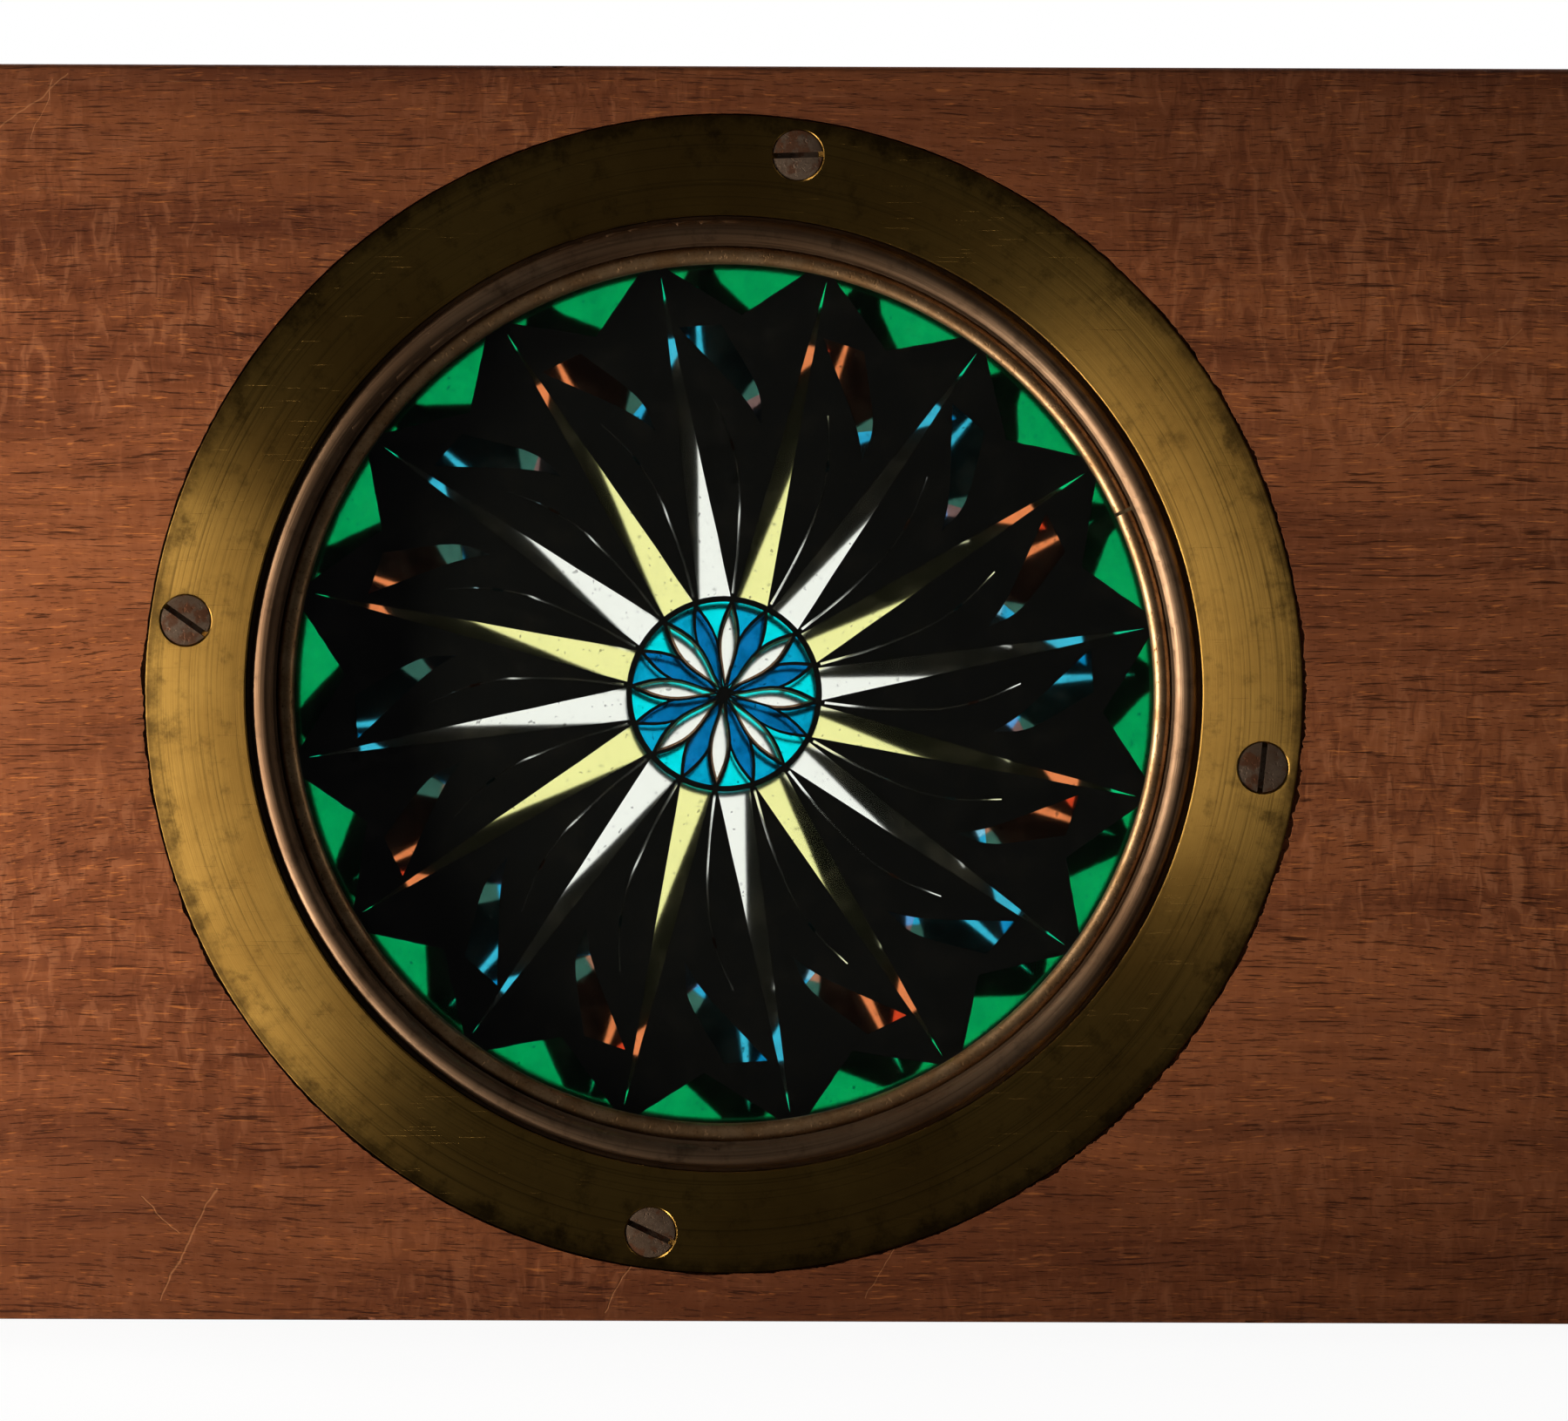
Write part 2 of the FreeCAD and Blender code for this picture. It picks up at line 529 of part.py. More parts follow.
def make_pinion():
    """Twelve teeth and a plain hub, bored for the shaft and drilled for its pin."""
    body = new_body("pinion")
    core = new_sketch(body, "pinion_core", "XY_Plane")
    circle(core, PINION_ROOT_R)
    extrude(body, "Pad", core, f"{HUB_END} - {PINION_START}")
    tooth = new_sketch(body, "pinion_tooth", "XY_Plane")
    half = f"({TOOTH_WIDTH} / 2)"
    tip = f"({half} - 0.8 * tooth_slope * ({PINION_TIP_R} - {PINION_PITCH_R}))"
    foot = f"({half} + 0.5 * tooth_slope * ({PINION_PITCH_R} - {PINION_ROOT_R}))"
    inside = f"({PINION_ROOT_R} - gear_module / 2)"
    outline(tooth, [
        (f"-{foot}", inside),
        (foot, inside),
        (foot, PINION_ROOT_R),
        (half, PINION_PITCH_R),
        (tip, PINION_TIP_R),
        (f"-{tip}", PINION_TIP_R),
        (f"-{half}", PINION_PITCH_R),
        (f"-{foot}", PINION_ROOT_R),
    ])
    pad = extrude(body, "Pad", tooth, f"{TEETH_END} - {PINION_START}")
    round_pattern(body, pad, "Z_Axis", "pinion_teeth")
    bore = new_sketch(body, "pinion_bore", "XY_Plane")
    circle(bore, "shaft_r + shaft_seat_clearance")
    extrude(body, "Pocket", bore, "hub_length + board_length", reverse=True)
    cross = new_sketch(body, "pinion_pin_hole", "YZ_Plane")
    circle(cross, "pin_r + pin_clearance", "0", f"{HUB_END} - {PINION_START} - hub_length / 2")
    extrude(body, "Pocket", cross, f"4 * {PINION_TIP_R}", symmetric=True)
    place(body, ALONG_SHAFT, x=PINION_START)


def make_pinion_pin():
    """The cross pin that fixes the pinion to the shaft."""
    pin = doc.addObject("Part::Cylinder", "pinion_pin")
    pin.Label = "pinion_pin"
    bind(pin, "Radius", "pin_r")
    bind(pin, "Height", f"2 * {PINION_ROOT_R} - 2 * pin_clearance")
    place(pin, UPRIGHT, x=f"{HUB_END} - hub_length / 2", z=f"(pin_clearance - {PINION_ROOT_R})")


def make_shaft():
    """The crank shaft: round stem, squared end for the arm and threaded end for the nut."""
    body = new_body("crank_shaft")
    stem = new_sketch(body, "shaft_stem", "XY_Plane")
    circle(stem, "shaft_r")
    extrude(body, "Pad", stem, f"{ARM_START} - {PINION_START}")
    square = new_sketch(body, "shaft_square", "XY_Plane", lift=f"{ARM_START} - {PINION_START}")
    box_outline(square, "square_width / 2", "square_width / 2")
    extrude(body, "Pad", square, "arm_thickness")
    stud = new_sketch(body, "shaft_stud", "XY_Plane", lift=f"{ARM_OUT} - {PINION_START}")
    circle(stud, "stud_r")
    extrude(body, "Pad", stud, "stud_length")
    cross = new_sketch(body, "shaft_pin_hole", "YZ_Plane")
    circle(cross, "pin_r + pin_clearance", "0", f"{HUB_END} - {PINION_START} - hub_length / 2")
    extrude(body, "Pocket", cross, "4 * shaft_r", symmetric=True)
    place(body, ALONG_SHAFT, x=PINION_START)


def make_turned(label, start, length, outer_r, inner_r):
    """A plain turned sleeve or washer on the shaft."""
    body = new_body(label)
    face = new_sketch(body, f"{label}_face", "XY_Plane")
    circle(face, outer_r)
    circle(face, inner_r)
    extrude(body, "Pad", face, length)
    place(body, ALONG_SHAFT, x=start)


def make_end_plate():
    """The outer bearing: a plate on the end grain with a spigot, a boss and two screw holes."""
    body = new_body("end_plate")
    face = new_sketch(body, "plate_face", "XY_Plane")
    box_outline(face, "plate_height / 2", "plate_width / 2")
    extrude(body, "Pad", face, "plate_thickness")
    upright = edges_where(body, lambda e: abs(e.tangentAt(e.FirstParameter).z) > 0.9)
    soften(body, "Fillet", upright, "plate_corner")
    boss = new_sketch(body, "plate_boss", "XY_Plane", lift="plate_thickness")
    circle(boss, "boss_r")
    extrude(body, "Pad", boss, "boss_height")
    spigot = new_sketch(body, "plate_spigot", "XY_Plane")
    circle(spigot, f"{BORE_R} - bush_clearance")
    extrude(body, "Pad", spigot, "spigot_length", reverse=True)
    bore = new_sketch(body, "plate_bore", "XY_Plane", lift="plate_thickness + boss_height")
    circle(bore, "shaft_r + shaft_running_clearance")
    extrude(body, "Pocket", bore, "plate_thickness + boss_height + spigot_length")
    depth = "(plate_thickness + screw_clearance)"
    hole = screw_hole(body, "plate_hole", "XZ_Plane", "plate_thickness", "plate_screw_offset", "0", depth)
    mirror_pattern(body, hole, "YZ_Plane")
    place(body, ALONG_SHAFT, x=BOARD_END)


def make_plate_screws():
    """The two screws of the end plate, above and below the shaft."""
    for index, (sign, slot_turn) in enumerate(zip(("", "-"), PLATE_SLOTS), start=1):
        body, turn = make_screw(f"end_plate_screw_{index}", "plate_screw_length", slot_turn)
        place(body, ALONG_SHAFT.multiply(turn), x=PLATE_OUT, z=f"({sign}plate_screw_offset)")


def make_arm():
    """The crank arm: two round ends joined by straight tangent sides, hanging down at rest."""
    body = new_body("crank_arm")
    for name, radius, centre in (("arm_hub", "arm_hub_r", "0"), ("arm_tip", "arm_tip_r", "crank_throw")):
        disc = new_sketch(body, name, "XY_Plane")
        circle(disc, radius, centre)
        extrude(body, "Pad", disc, "arm_thickness")
    lean = "((arm_hub_r - arm_tip_r) / crank_throw)"
    square = f"sqrt(1 - {lean} * {lean})"
    hub = (f"arm_hub_r * {lean}", f"(arm_hub_r * {square})")
    tip = (f"crank_throw + arm_tip_r * {lean}", f"(arm_tip_r * {square})")
    web = new_sketch(body, "arm_web", "XY_Plane")
    outline(web, [
        (hub[0], f"-{hub[1]}"),
        (tip[0], f"-{tip[1]}"),
        tip,
        hub,
    ])
    extrude(body, "Pad", web, "arm_thickness")
    eye = new_sketch(body, "arm_square_hole", "XY_Plane")
    half = "square_width / 2 + square_clearance"
    box_outline(eye, half, half)
    extrude(body, "Pocket", eye, "2 * arm_thickness", reverse=True)
    rivet = new_sketch(body, "arm_rivet_hole", "XY_Plane")
    circle(rivet, "rivet_r + pin_clearance", "crank_throw")
    extrude(body, "Pocket", rivet, "2 * arm_thickness", reverse=True)
    place(body, ALONG_SHAFT, x=ARM_START)


def make_nut():
    """The six-sided nut that holds the arm on the shaft."""
    body = new_body("crank_nut")
    face = new_sketch(body, "nut_face", "XY_Plane")
    corners = []
    for corner in range(6):
        turn = 60 * corner + 30
        corners.append((f"nut_r * cos({turn})" if turn % 180 != 90 else "0", f"nut_r * sin({turn})"))
    outline(face, corners)
    extrude(body, "Pad", face, "nut_thickness")
    hole = new_sketch(body, "nut_hole", "XY_Plane")
    circle(hole, "stud_r + shaft_seat_clearance")
    extrude(body, "Pocket", hole, "2 * nut_thickness", reverse=True)
    place(body, ALONG_SHAFT, x=ARM_OUT)


def make_spindle():
    """The knob's spindle: riveted through the arm, with a head that keeps the knob on."""
    body = new_body("knob_spindle")
    section = new_sketch(body, "spindle_section", "XZ_Plane")
    back = "-(arm_thickness + rivet_head_height)"
    outer = "(knob_length + 2 * knob_gap)"
    outline(section, [
        ("0", back),
        ("rivet_head_r", back),
        ("rivet_head_r", "-arm_thickness"),
        ("rivet_r", "-arm_thickness"),
        ("rivet_r", "0"),
        ("spindle_r", "0"),
        ("spindle_r", outer),
        ("spindle_head_r", outer),
        ("spindle_head_r", f"({outer} + spindle_head_height / 2)"),
        ("spindle_r", f"({outer} + spindle_head_height)"),
        ("0", f"({outer} + spindle_head_height)"),
    ])
    spin(body, "Revolution", section)
    place(body, ALONG_SHAFT, x=ARM_OUT, z="-crank_throw")


def make_knob():
    """The turned knob: foot, hollow waist, round belly and a flat end."""
    body = new_body("crank_knob")
    section = new_sketch(body, "knob_section", "XZ_Plane")
    bore = "(spindle_r + knob_running_clearance)"
    waist = "(knob_foot_height + knob_waist_height)"
    belly = f"({waist} + (knob_length - {waist}) / 2)"
    outline(section, [
        (bore, "0"),
        ("knob_neck_r", "0"),
        ("knob_neck_r", "knob_foot_height"),
        ("knob_waist_r", waist, "knob_hollow_r", -1),
        ("knob_belly_r", belly, "knob_curve_r", 1),
        ("knob_end_r", "knob_length"),
        (bore, "knob_length"),
    ])
    spin(body, "Revolution", section)
    place(body, ALONG_SHAFT, x=KNOB_START, z="-crank_throw")


def write_parts():
    """Checks every object, then writes each sub-part to its own file."""
    doc.recompute()
    for item in doc.Objects:
        if "Invalid" in item.State or "Error" in item.State:
            raise RuntimeError(f"{item.Label} failed: {item.State}")
    kinds = ("PartDesign::Body", "Part::Torus", "Part::Cylinder")
    parts = [item for item in doc.Objects if item.TypeId in kinds]
    for part in parts:
        if part.Shape.isNull() or not part.Shape.isValid():
            raise RuntimeError(f"{part.Label} has no valid shape")
    os.makedirs("parts", exist_ok=True)
    for part in parts:
        part.Shape.exportStep(f"parts/{part.Label}.step")
        print(f"{part.Label}: {len(part.Shape.Solids)} solid, {part.Shape.Volume:.1f} mm3")
    print(f"{len(parts)} parts, {number(CROWN_TEETH):.0f} crown teeth")
    print(f"ratio {number(CROWN_TEETH) / number('pinion_teeth'):.4f}")


fill_sheet()
make_board()
for side, rotation, slots in (("front", FRONT, FRONT_SLOTS), ("rear", REAR, REAR_SLOTS)):
    make_cover_ring(side, rotation)
    make_ring_screws(side, rotation, slots)
    make_cell(side, rotation)
    make_glass(side, rotation)
    make_wire_ring(side, rotation)
make_pinion()
make_pinion_pin()
make_shaft()
make_turned("inner_bush", BUSH_START, "bush_length", f"{BORE_R} - bush_clearance",
            "shaft_r + shaft_running_clearance")
make_end_plate()
make_plate_screws()
make_turned("thrust_washer", WASHER_START, "washer_thickness", "washer_r",
            "shaft_r + shaft_seat_clearance")
make_arm()
make_nut()
make_spindle()
make_knob()
write_parts()
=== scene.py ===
import math
import random

import bmesh
import bpy
from mathutils import Matrix, Vector, geometry, noise


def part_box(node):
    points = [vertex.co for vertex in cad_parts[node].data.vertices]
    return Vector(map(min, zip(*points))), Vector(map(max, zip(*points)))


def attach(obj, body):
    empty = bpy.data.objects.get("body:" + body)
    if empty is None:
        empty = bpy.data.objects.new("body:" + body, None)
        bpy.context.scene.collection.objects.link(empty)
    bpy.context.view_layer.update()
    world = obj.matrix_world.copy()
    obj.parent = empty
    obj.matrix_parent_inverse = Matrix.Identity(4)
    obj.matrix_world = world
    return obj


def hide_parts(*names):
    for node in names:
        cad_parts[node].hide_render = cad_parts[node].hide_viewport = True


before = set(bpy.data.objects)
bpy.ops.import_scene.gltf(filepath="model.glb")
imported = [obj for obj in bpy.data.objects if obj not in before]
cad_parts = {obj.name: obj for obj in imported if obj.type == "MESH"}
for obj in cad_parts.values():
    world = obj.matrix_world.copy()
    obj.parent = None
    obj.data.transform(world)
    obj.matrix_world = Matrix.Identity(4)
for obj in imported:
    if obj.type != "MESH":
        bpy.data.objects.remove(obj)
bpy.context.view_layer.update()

# Looks of the lantern slide: a mahogany board, brass mounts and two painted glass discs.
# Sizes are in millimetres and become metres where a mesh is made.
# A place on the round mounts is an angle in degrees, anticlockwise from +X seen from the front,
# a radius from the optical axis, and a distance from the middle plane of the board.
# A side is -1 for the front and 1 for the rear.

MM = 0.001


# Sizes read from the CAD nodes

def box_mm(node):
    """Lowest and highest corner of a CAD node in millimetres."""
    low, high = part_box(node)
    return low / MM, high / MM


BOARD_LOW, BOARD_HIGH = box_mm("mahogany_frame")
RING_LOW, RING_HIGH = box_mm("front_cover_ring")
WIRE_LOW, WIRE_HIGH = box_mm("front_wire_ring")
KNOB_LOW, KNOB_HIGH = box_mm("crank_knob")
PLATE_SCREW_LOW, PLATE_SCREW_HIGH = box_mm("end_plate_screw_1")

FACE = BOARD_HIGH.y
AXIS_Z = (BOARD_LOW.z + BOARD_HIGH.z) / 2
RING_OUTER_R = (RING_HIGH.z - RING_LOW.z) / 2
RING_BACK = -RING_HIGH.y
GLASS_BACK = -box_mm("front_glass")[1].y
WIRE_OUTER_R = (WIRE_HIGH.z - WIRE_LOW.z) / 2
WIRE_R = (WIRE_HIGH.y - WIRE_LOW.y) / 2

# Sizes of the mounts that the boxes don't give, as in the CAD model
RING_INNER_R = 38.76
RECESS_R = 46.95
SCREW_CIRCLE_R = 44.0
SCREW_HEAD_R = 2.05
RING_SCREW_LENGTH = 5.0
FIRST_SCREW_ANGLE = -7.6
WIRE_GAP_ANGLE = 24.7
WIRE_GAP = 0.3

# How the screws' slots are turned
FRONT_SLOTS = (84, 2, -35, -25)
REAR_SLOTS = (20, -50, 75, 10)
PLATE_SLOTS = (15, -40)

# Framing of the photograph
PHOTO_WIDTH = 1800
PHOTO_HEIGHT = 1631
AXIS_PIXEL_X = 831
AXIS_PIXEL_Y = 796.5
MM_PER_PIXEL = 0.0705
PHOTO_ROLL = 0.19
CAMERA_DISTANCE = 1050.0
SENSOR = 36.0


# Nodes and colours

def linear(code):
    """An sRGB hex colour as linear red, green, blue and alpha."""
    parts = [int(code[i:i + 2], 16) / 255 for i in (1, 3, 5)]
    values = [p / 12.92 if p <= 0.04045 else ((p + 0.055) / 1.055) ** 2.4 for p in parts]
    return (*values, 1.0)


def put(tree, kind, inputs=None, stops=None, **settings):
    """Adds one node, sets its properties, its sockets or their links, and the stops of a colour ramp.
    A kind that doesn't name its family is a shader node."""
    made = tree.nodes.new(kind if "Node" in kind else f"ShaderNode{kind}")
    for name, value in settings.items():
        setattr(made, name, value)
    for key, value in (inputs or {}).items():
        if isinstance(value, bpy.types.NodeSocket):
            tree.links.new(value, made.inputs[key])
        else:
            made.inputs[key].default_value = value
    if stops:
        ramp = made.color_ramp.elements
        while len(ramp) < len(stops):
            ramp.new(0.5)
        for element, (place, colour) in zip(ramp, stops):
            element.position = place
            element.color = linear(colour)
    return made


def new_material(name):
    """An empty node material and its tree."""
    made = bpy.data.materials.new(name)
    made.use_nodes = True
    made.node_tree.nodes.clear()
    return made, made.node_tree


def finish_material(material, shader):
    """Links the shader to the material's surface output."""
    put(material.node_tree, "OutputMaterial", {"Surface": shader})
    return material


def principled(tree, inputs):
    """A Principled shader with these inputs."""
    return put(tree, "BsdfPrincipled", inputs).outputs[0]


def vector_maths(tree, operation, first, second):
    """One arithmetic step on vectors."""
    return put(tree, "VectorMath", {0: first, 1: second}, operation=operation).outputs[0]


def maths(tree, operation, first, second=0.0):
    """One arithmetic step on values."""
    return put(tree, "Math", {0: first, 1: second}, operation=operation).outputs[0]


def times(tree, first, second):
    """The product of two values."""
    return maths(tree, "MULTIPLY", first, second)


def one_minus(tree, value):
    """What is left of one after a value is taken away."""
    return maths(tree, "SUBTRACT", 1.0, value)


def greatest(tree, *values):
    """The greatest of several values."""
    total = values[0]
    for value in values[1:]:
        total = maths(tree, "MAXIMUM", total, value)
    return total


def millimetres(tree, scale=(1, 1, 1), centre=(0, 0, 0), turn=(0, 0, 0)):
    """Object coordinates in millimetres from a centre, stretched by scale."""
    place = put(tree, "TexCoord").outputs["Object"]
    return put(tree, "Mapping", {
        "Vector": vector_maths(tree, "SUBTRACT", place, Vector(centre) * MM),
        "Rotation": [math.radians(a) for a in turn],
        "Scale": [s / MM for s in scale],
    }).outputs[0]


def speckle(tree, vector, detail=3.0, rough=0.55, warp=0.0, offset=0.0):
    """Noise with a value near one half."""
    if offset:
        vector = vector_maths(tree, "ADD", vector, (offset, offset, offset))
    return put(tree, "TexNoise", {
        "Vector": vector, "Scale": 1.0, "Detail": detail, "Roughness": rough, "Distortion": warp,
    }).outputs[0]


def cloud(tree, scale, **settings):
    """Noise over the object, its scale per millimetre given as one number or one for each axis."""
    scales = scale if isinstance(scale, tuple) else (scale, scale, scale)
    return speckle(tree, millimetres(tree, scales), **settings)


def span(tree, value, low, high, to_low=0.0, to_high=1.0):
    """Maps a value from one range to another, with soft ends."""
    return put(tree, "MapRange", {
        "Value": value, "From Min": low, "From Max": high, "To Min": to_low, "To Max": to_high,
    }, interpolation_type="SMOOTHSTEP").outputs[0]


def blend_colour(tree, share, under, over):
    """Mixes two colours, each a hex code or a socket."""
    mixed = put(tree, "Mix", {0: share}, data_type="RGBA")
    for index, colour in ((6, under), (7, over)):
        if isinstance(colour, str):
            mixed.inputs[index].default_value = linear(colour)
        else:
            tree.links.new(colour, mixed.inputs[index])
    return mixed.outputs[2]


def overlay(tree, colour, *layers):
    """Lays further colours over a colour, each layer as (share, strength, colour)."""
    for share, strength, over in layers:
        colour = blend_colour(tree, times(tree, share, strength), colour, over)
    return colour


def relief(tree, *layers):
    """Bumps one over the other, each layer as (height, strength, distance in millimetres)."""
    normal = None
    for height, strength, distance in layers:
        inputs = {"Height": height, "Strength": strength, "Distance": distance * MM}
        if normal is not None:
            inputs["Normal"] = normal
        normal = put(tree, "Bump", inputs).outputs[0]
    return normal


def line_marks(tree, marks):
    """How far each point lies inside drawn scratches: marks are (x0, z0, x1, z1, width)."""
    place = millimetres(tree, scale=(1, 0, 1))
    wander = put(tree, "TexNoise", {"Vector": place, "Scale": 0.35, "Detail": 2.0}).outputs[1]
    shift = vector_maths(tree, "SUBTRACT", wander, (0.5, 0.5, 0.5))
    shift = vector_maths(tree, "MULTIPLY", shift, (1.2, 0.0, 1.2))
    place = vector_maths(tree, "ADD", place, shift)
    insides = []
    for x0, z0, x1, z1, width in marks:
        start = Vector((x0, 0, z0))
        along = Vector((x1, 0, z1)) - start
        off = vector_maths(tree, "SUBTRACT", place, start)
        unit = along / along.length_squared
        share = put(tree, "VectorMath", {0: off, 1: unit}, operation="DOT_PRODUCT").outputs[1]
        share = put(tree, "Clamp", {0: share}).outputs[0]
        foot = put(tree, "VectorMath", {0: along, "Scale": share}, operation="SCALE").outputs[0]
        gap = put(tree, "VectorMath", {0: off, 1: foot}, operation="DISTANCE").outputs[1]
        insides.append(span(tree, gap, 0.0, width, 1.0, 0.0))
    return greatest(tree, *insides)


def random_scratches(tree, turns, length, width, share, offset):
    """Thin straight marks in several directions, from noise stretched along each one."""
    insides = []
    for index, turn in enumerate(turns):
        lines = millimetres(tree, scale=(1 / length, 1 / width, 1 / width), turn=(0, turn, 0))
        value = speckle(tree, lines, detail=1.0, offset=offset + 7.3 * index)
        insides.append(span(tree, value, 1 - share, 1.06 - share))
    return greatest(tree, *insides)


# Wood

# Scratches seen on the front, as (x0, z0, x1, z1, width)
FRONT_MARKS = (
    (-58.6, 96.5, -53.2, 101.0, 0.10),
    (-54.5, 100.5, -56.2, 95.4, 0.07),
    (52.5, 71.0, 64.5, 80.5, 0.08),
    (55.0, 72.5, 60.0, 77.0, 0.05),
    (-45.5, 1.6, -41.0, 10.5, 0.12),
    (-44.0, 7.0, -47.0, 10.0, 0.08),
    (-9.5, 0.8, -6.6, 6.0, 0.10),
    (11.5, 2.0, 14.5, 6.5, 0.06),
    (20.5, 17.0, 22.5, 19.5, 0.06),
)


def make_mahogany():
    """Oiled mahogany, planed and worn with long use: reddish brown with dark open pores lying along the
    board, orange flecks, a fine ripple figure across the grain, scratches, grime at the arrises, and painted
    shade that darkens the wood towards its long edges."""
    material, tree = new_material("oiled_mahogany")
    drift = cloud(tree, (0.012, 0.03, 0.03), detail=2.0)
    sway = put(tree, "CombineXYZ", {1: times(tree, drift, 6.0), 2: times(tree, drift, 9.0)}).outputs[0]
    place = vector_maths(tree, "ADD", millimetres(tree), sway)

    def along_grain(scale, across, **settings):
        stretched = vector_maths(tree, "MULTIPLY", place, (scale, across, across))
        return speckle(tree, stretched, **settings)

    bands = along_grain(0.010, 0.16, detail=4.0, rough=0.6)
    fibres = along_grain(0.11, 2.6, detail=4.0, rough=0.65)
    pores = span(tree, along_grain(0.22, 5.6, offset=3.0), 0.60, 0.68)
    short_pores = span(tree, along_grain(0.8, 8.5, detail=2.0, offset=9.0), 0.60, 0.70)
    flecks = span(tree, along_grain(0.42, 6.0, detail=2.0, offset=17.0), 0.62, 0.70)
    ripple = cloud(tree, (0.85, 0.85, 0.30), detail=2.0, warp=0.8, offset=5.0)
    ripple_place = cloud(tree, (0.02, 0.02, 0.03), detail=2.0, offset=31.0)
    ripple_share = span(tree, ripple_place, 0.40, 0.62, 0.25, 1.0)
    dark_places = cloud(tree, (0.02, 0.02, 0.045), offset=47.0)
    off_axis = put(tree, "SeparateXYZ", {0: millimetres(tree, centre=(0, 0, AXIS_Z))}).outputs[2]
    off_axis = maths(tree, "ABSOLUTE", off_axis)
    # Painted shade: the wood is darkened in ragged places away from the mid-height line, towards the long
    # edges
    painted_edge_shade = span(tree, maths(tree, "ADD", off_axis, times(tree, dark_places, 14.0)), 28.0, 52.0)
    arris = span(tree, off_axis, AXIS_Z - 2.2, AXIS_Z)
    scratches = random_scratches(tree, (28, 75, 131), 9.0, 0.11, 0.235, 11.0)
    marks = line_marks(tree, FRONT_MARKS)
    light_marks = greatest(tree, times(tree, scratches, 0.5), times(tree, marks, 0.8))

    colour = put(tree, "ValToRGB", {0: bands}, stops=(
        (0.28, "#502b1b"), (0.44, "#704026"), (0.55, "#864f2f"), (0.70, "#5a3220"))).outputs[0]
    colour = overlay(
        tree, colour,
        (span(tree, fibres, 0.35, 0.72), 0.55, "#8a5436"),
        (span(tree, dark_places, 0.35, 0.65), 0.35, "#50291b"),
        (times(tree, span(tree, ripple, 0.52, 0.66), ripple_share), 0.34, "#a36a48"),
        (times(tree, span(tree, ripple, 0.48, 0.36), ripple_share), 0.40, "#4a2618"),
        (flecks, 0.60, "#b8713c"),
        (short_pores, 0.60, "#3a1d13"),
        (pores, 0.80, "#26120c"),
        # painted shade towards the long edges
        (painted_edge_shade, 0.42, "#33180f"),
        (times(tree, arris, span(tree, fibres, 0.3, 0.7)), 0.55, "#3b2015"),
        (light_marks, 0.45, "#a8764f"),
    )
    pits = maths(tree, "ADD", pores, times(tree, short_pores, 0.5))
    uneven = relief(
        tree,
        (times(tree, ripple, ripple_share), 0.55, 0.10),
        (fibres, 0.40, 0.05),
        (one_minus(tree, pits), 0.75, 0.06),
        (one_minus(tree, light_marks), 0.6, 0.04),
    )
    sheen = span(tree, maths(tree, "ADD", fibres, pits), 0.3, 1.3, 0.46, 0.74)
    return finish_material(material, principled(tree, {
        "Base Color": colour, "Roughness": sheen, "IOR": 1.45, "Specular IOR Level": 0.05, "Normal": uneven}))


def make_knob_wood():
    """Turned rosewood, dark and polished by fingers: close dark grain with turning rings."""
    material, tree = new_material("turned_rosewood")
    grain = cloud(tree, (0.35, 2.4, 2.4), detail=4.0, warp=0.6)
    pores = span(tree, cloud(tree, (0.8, 6.5, 6.5), detail=1.0, offset=4.0), 0.58, 0.66)
    rings = cloud(tree, (7.0, 0.25, 0.25), detail=2.0, offset=2.0)
    colour = put(tree, "ValToRGB", {0: grain}, stops=(
        (0.30, "#26130d"), (0.50, "#45231a"), (0.68, "#5b3020"))).outputs[0]
    return finish_material(material, principled(tree, {
        "Base Color": overlay(tree, colour, (pores, 0.8, "#140a07")),
        "Roughness": span(tree, grain, 0.3, 0.7, 0.26, 0.42),
        "IOR": 1.5, "Coat Weight": 0.35, "Coat Roughness": 0.18,
        "Normal": relief(tree, (rings, 0.35, 0.04), (one_minus(tree, pores), 0.4, 0.03))}))


# Metal

def around_axis(tree):
    """Radius in millimetres and unit direction of a point about the optical axis."""
    flat = millimetres(tree, scale=(1, 0, 1), centre=(0, 0, AXIS_Z))
    radius = put(tree, "VectorMath", {0: flat}, operation="LENGTH").outputs[1]
    outward = put(tree, "VectorMath", {0: flat}, operation="NORMALIZE").outputs[0]
    return radius, outward


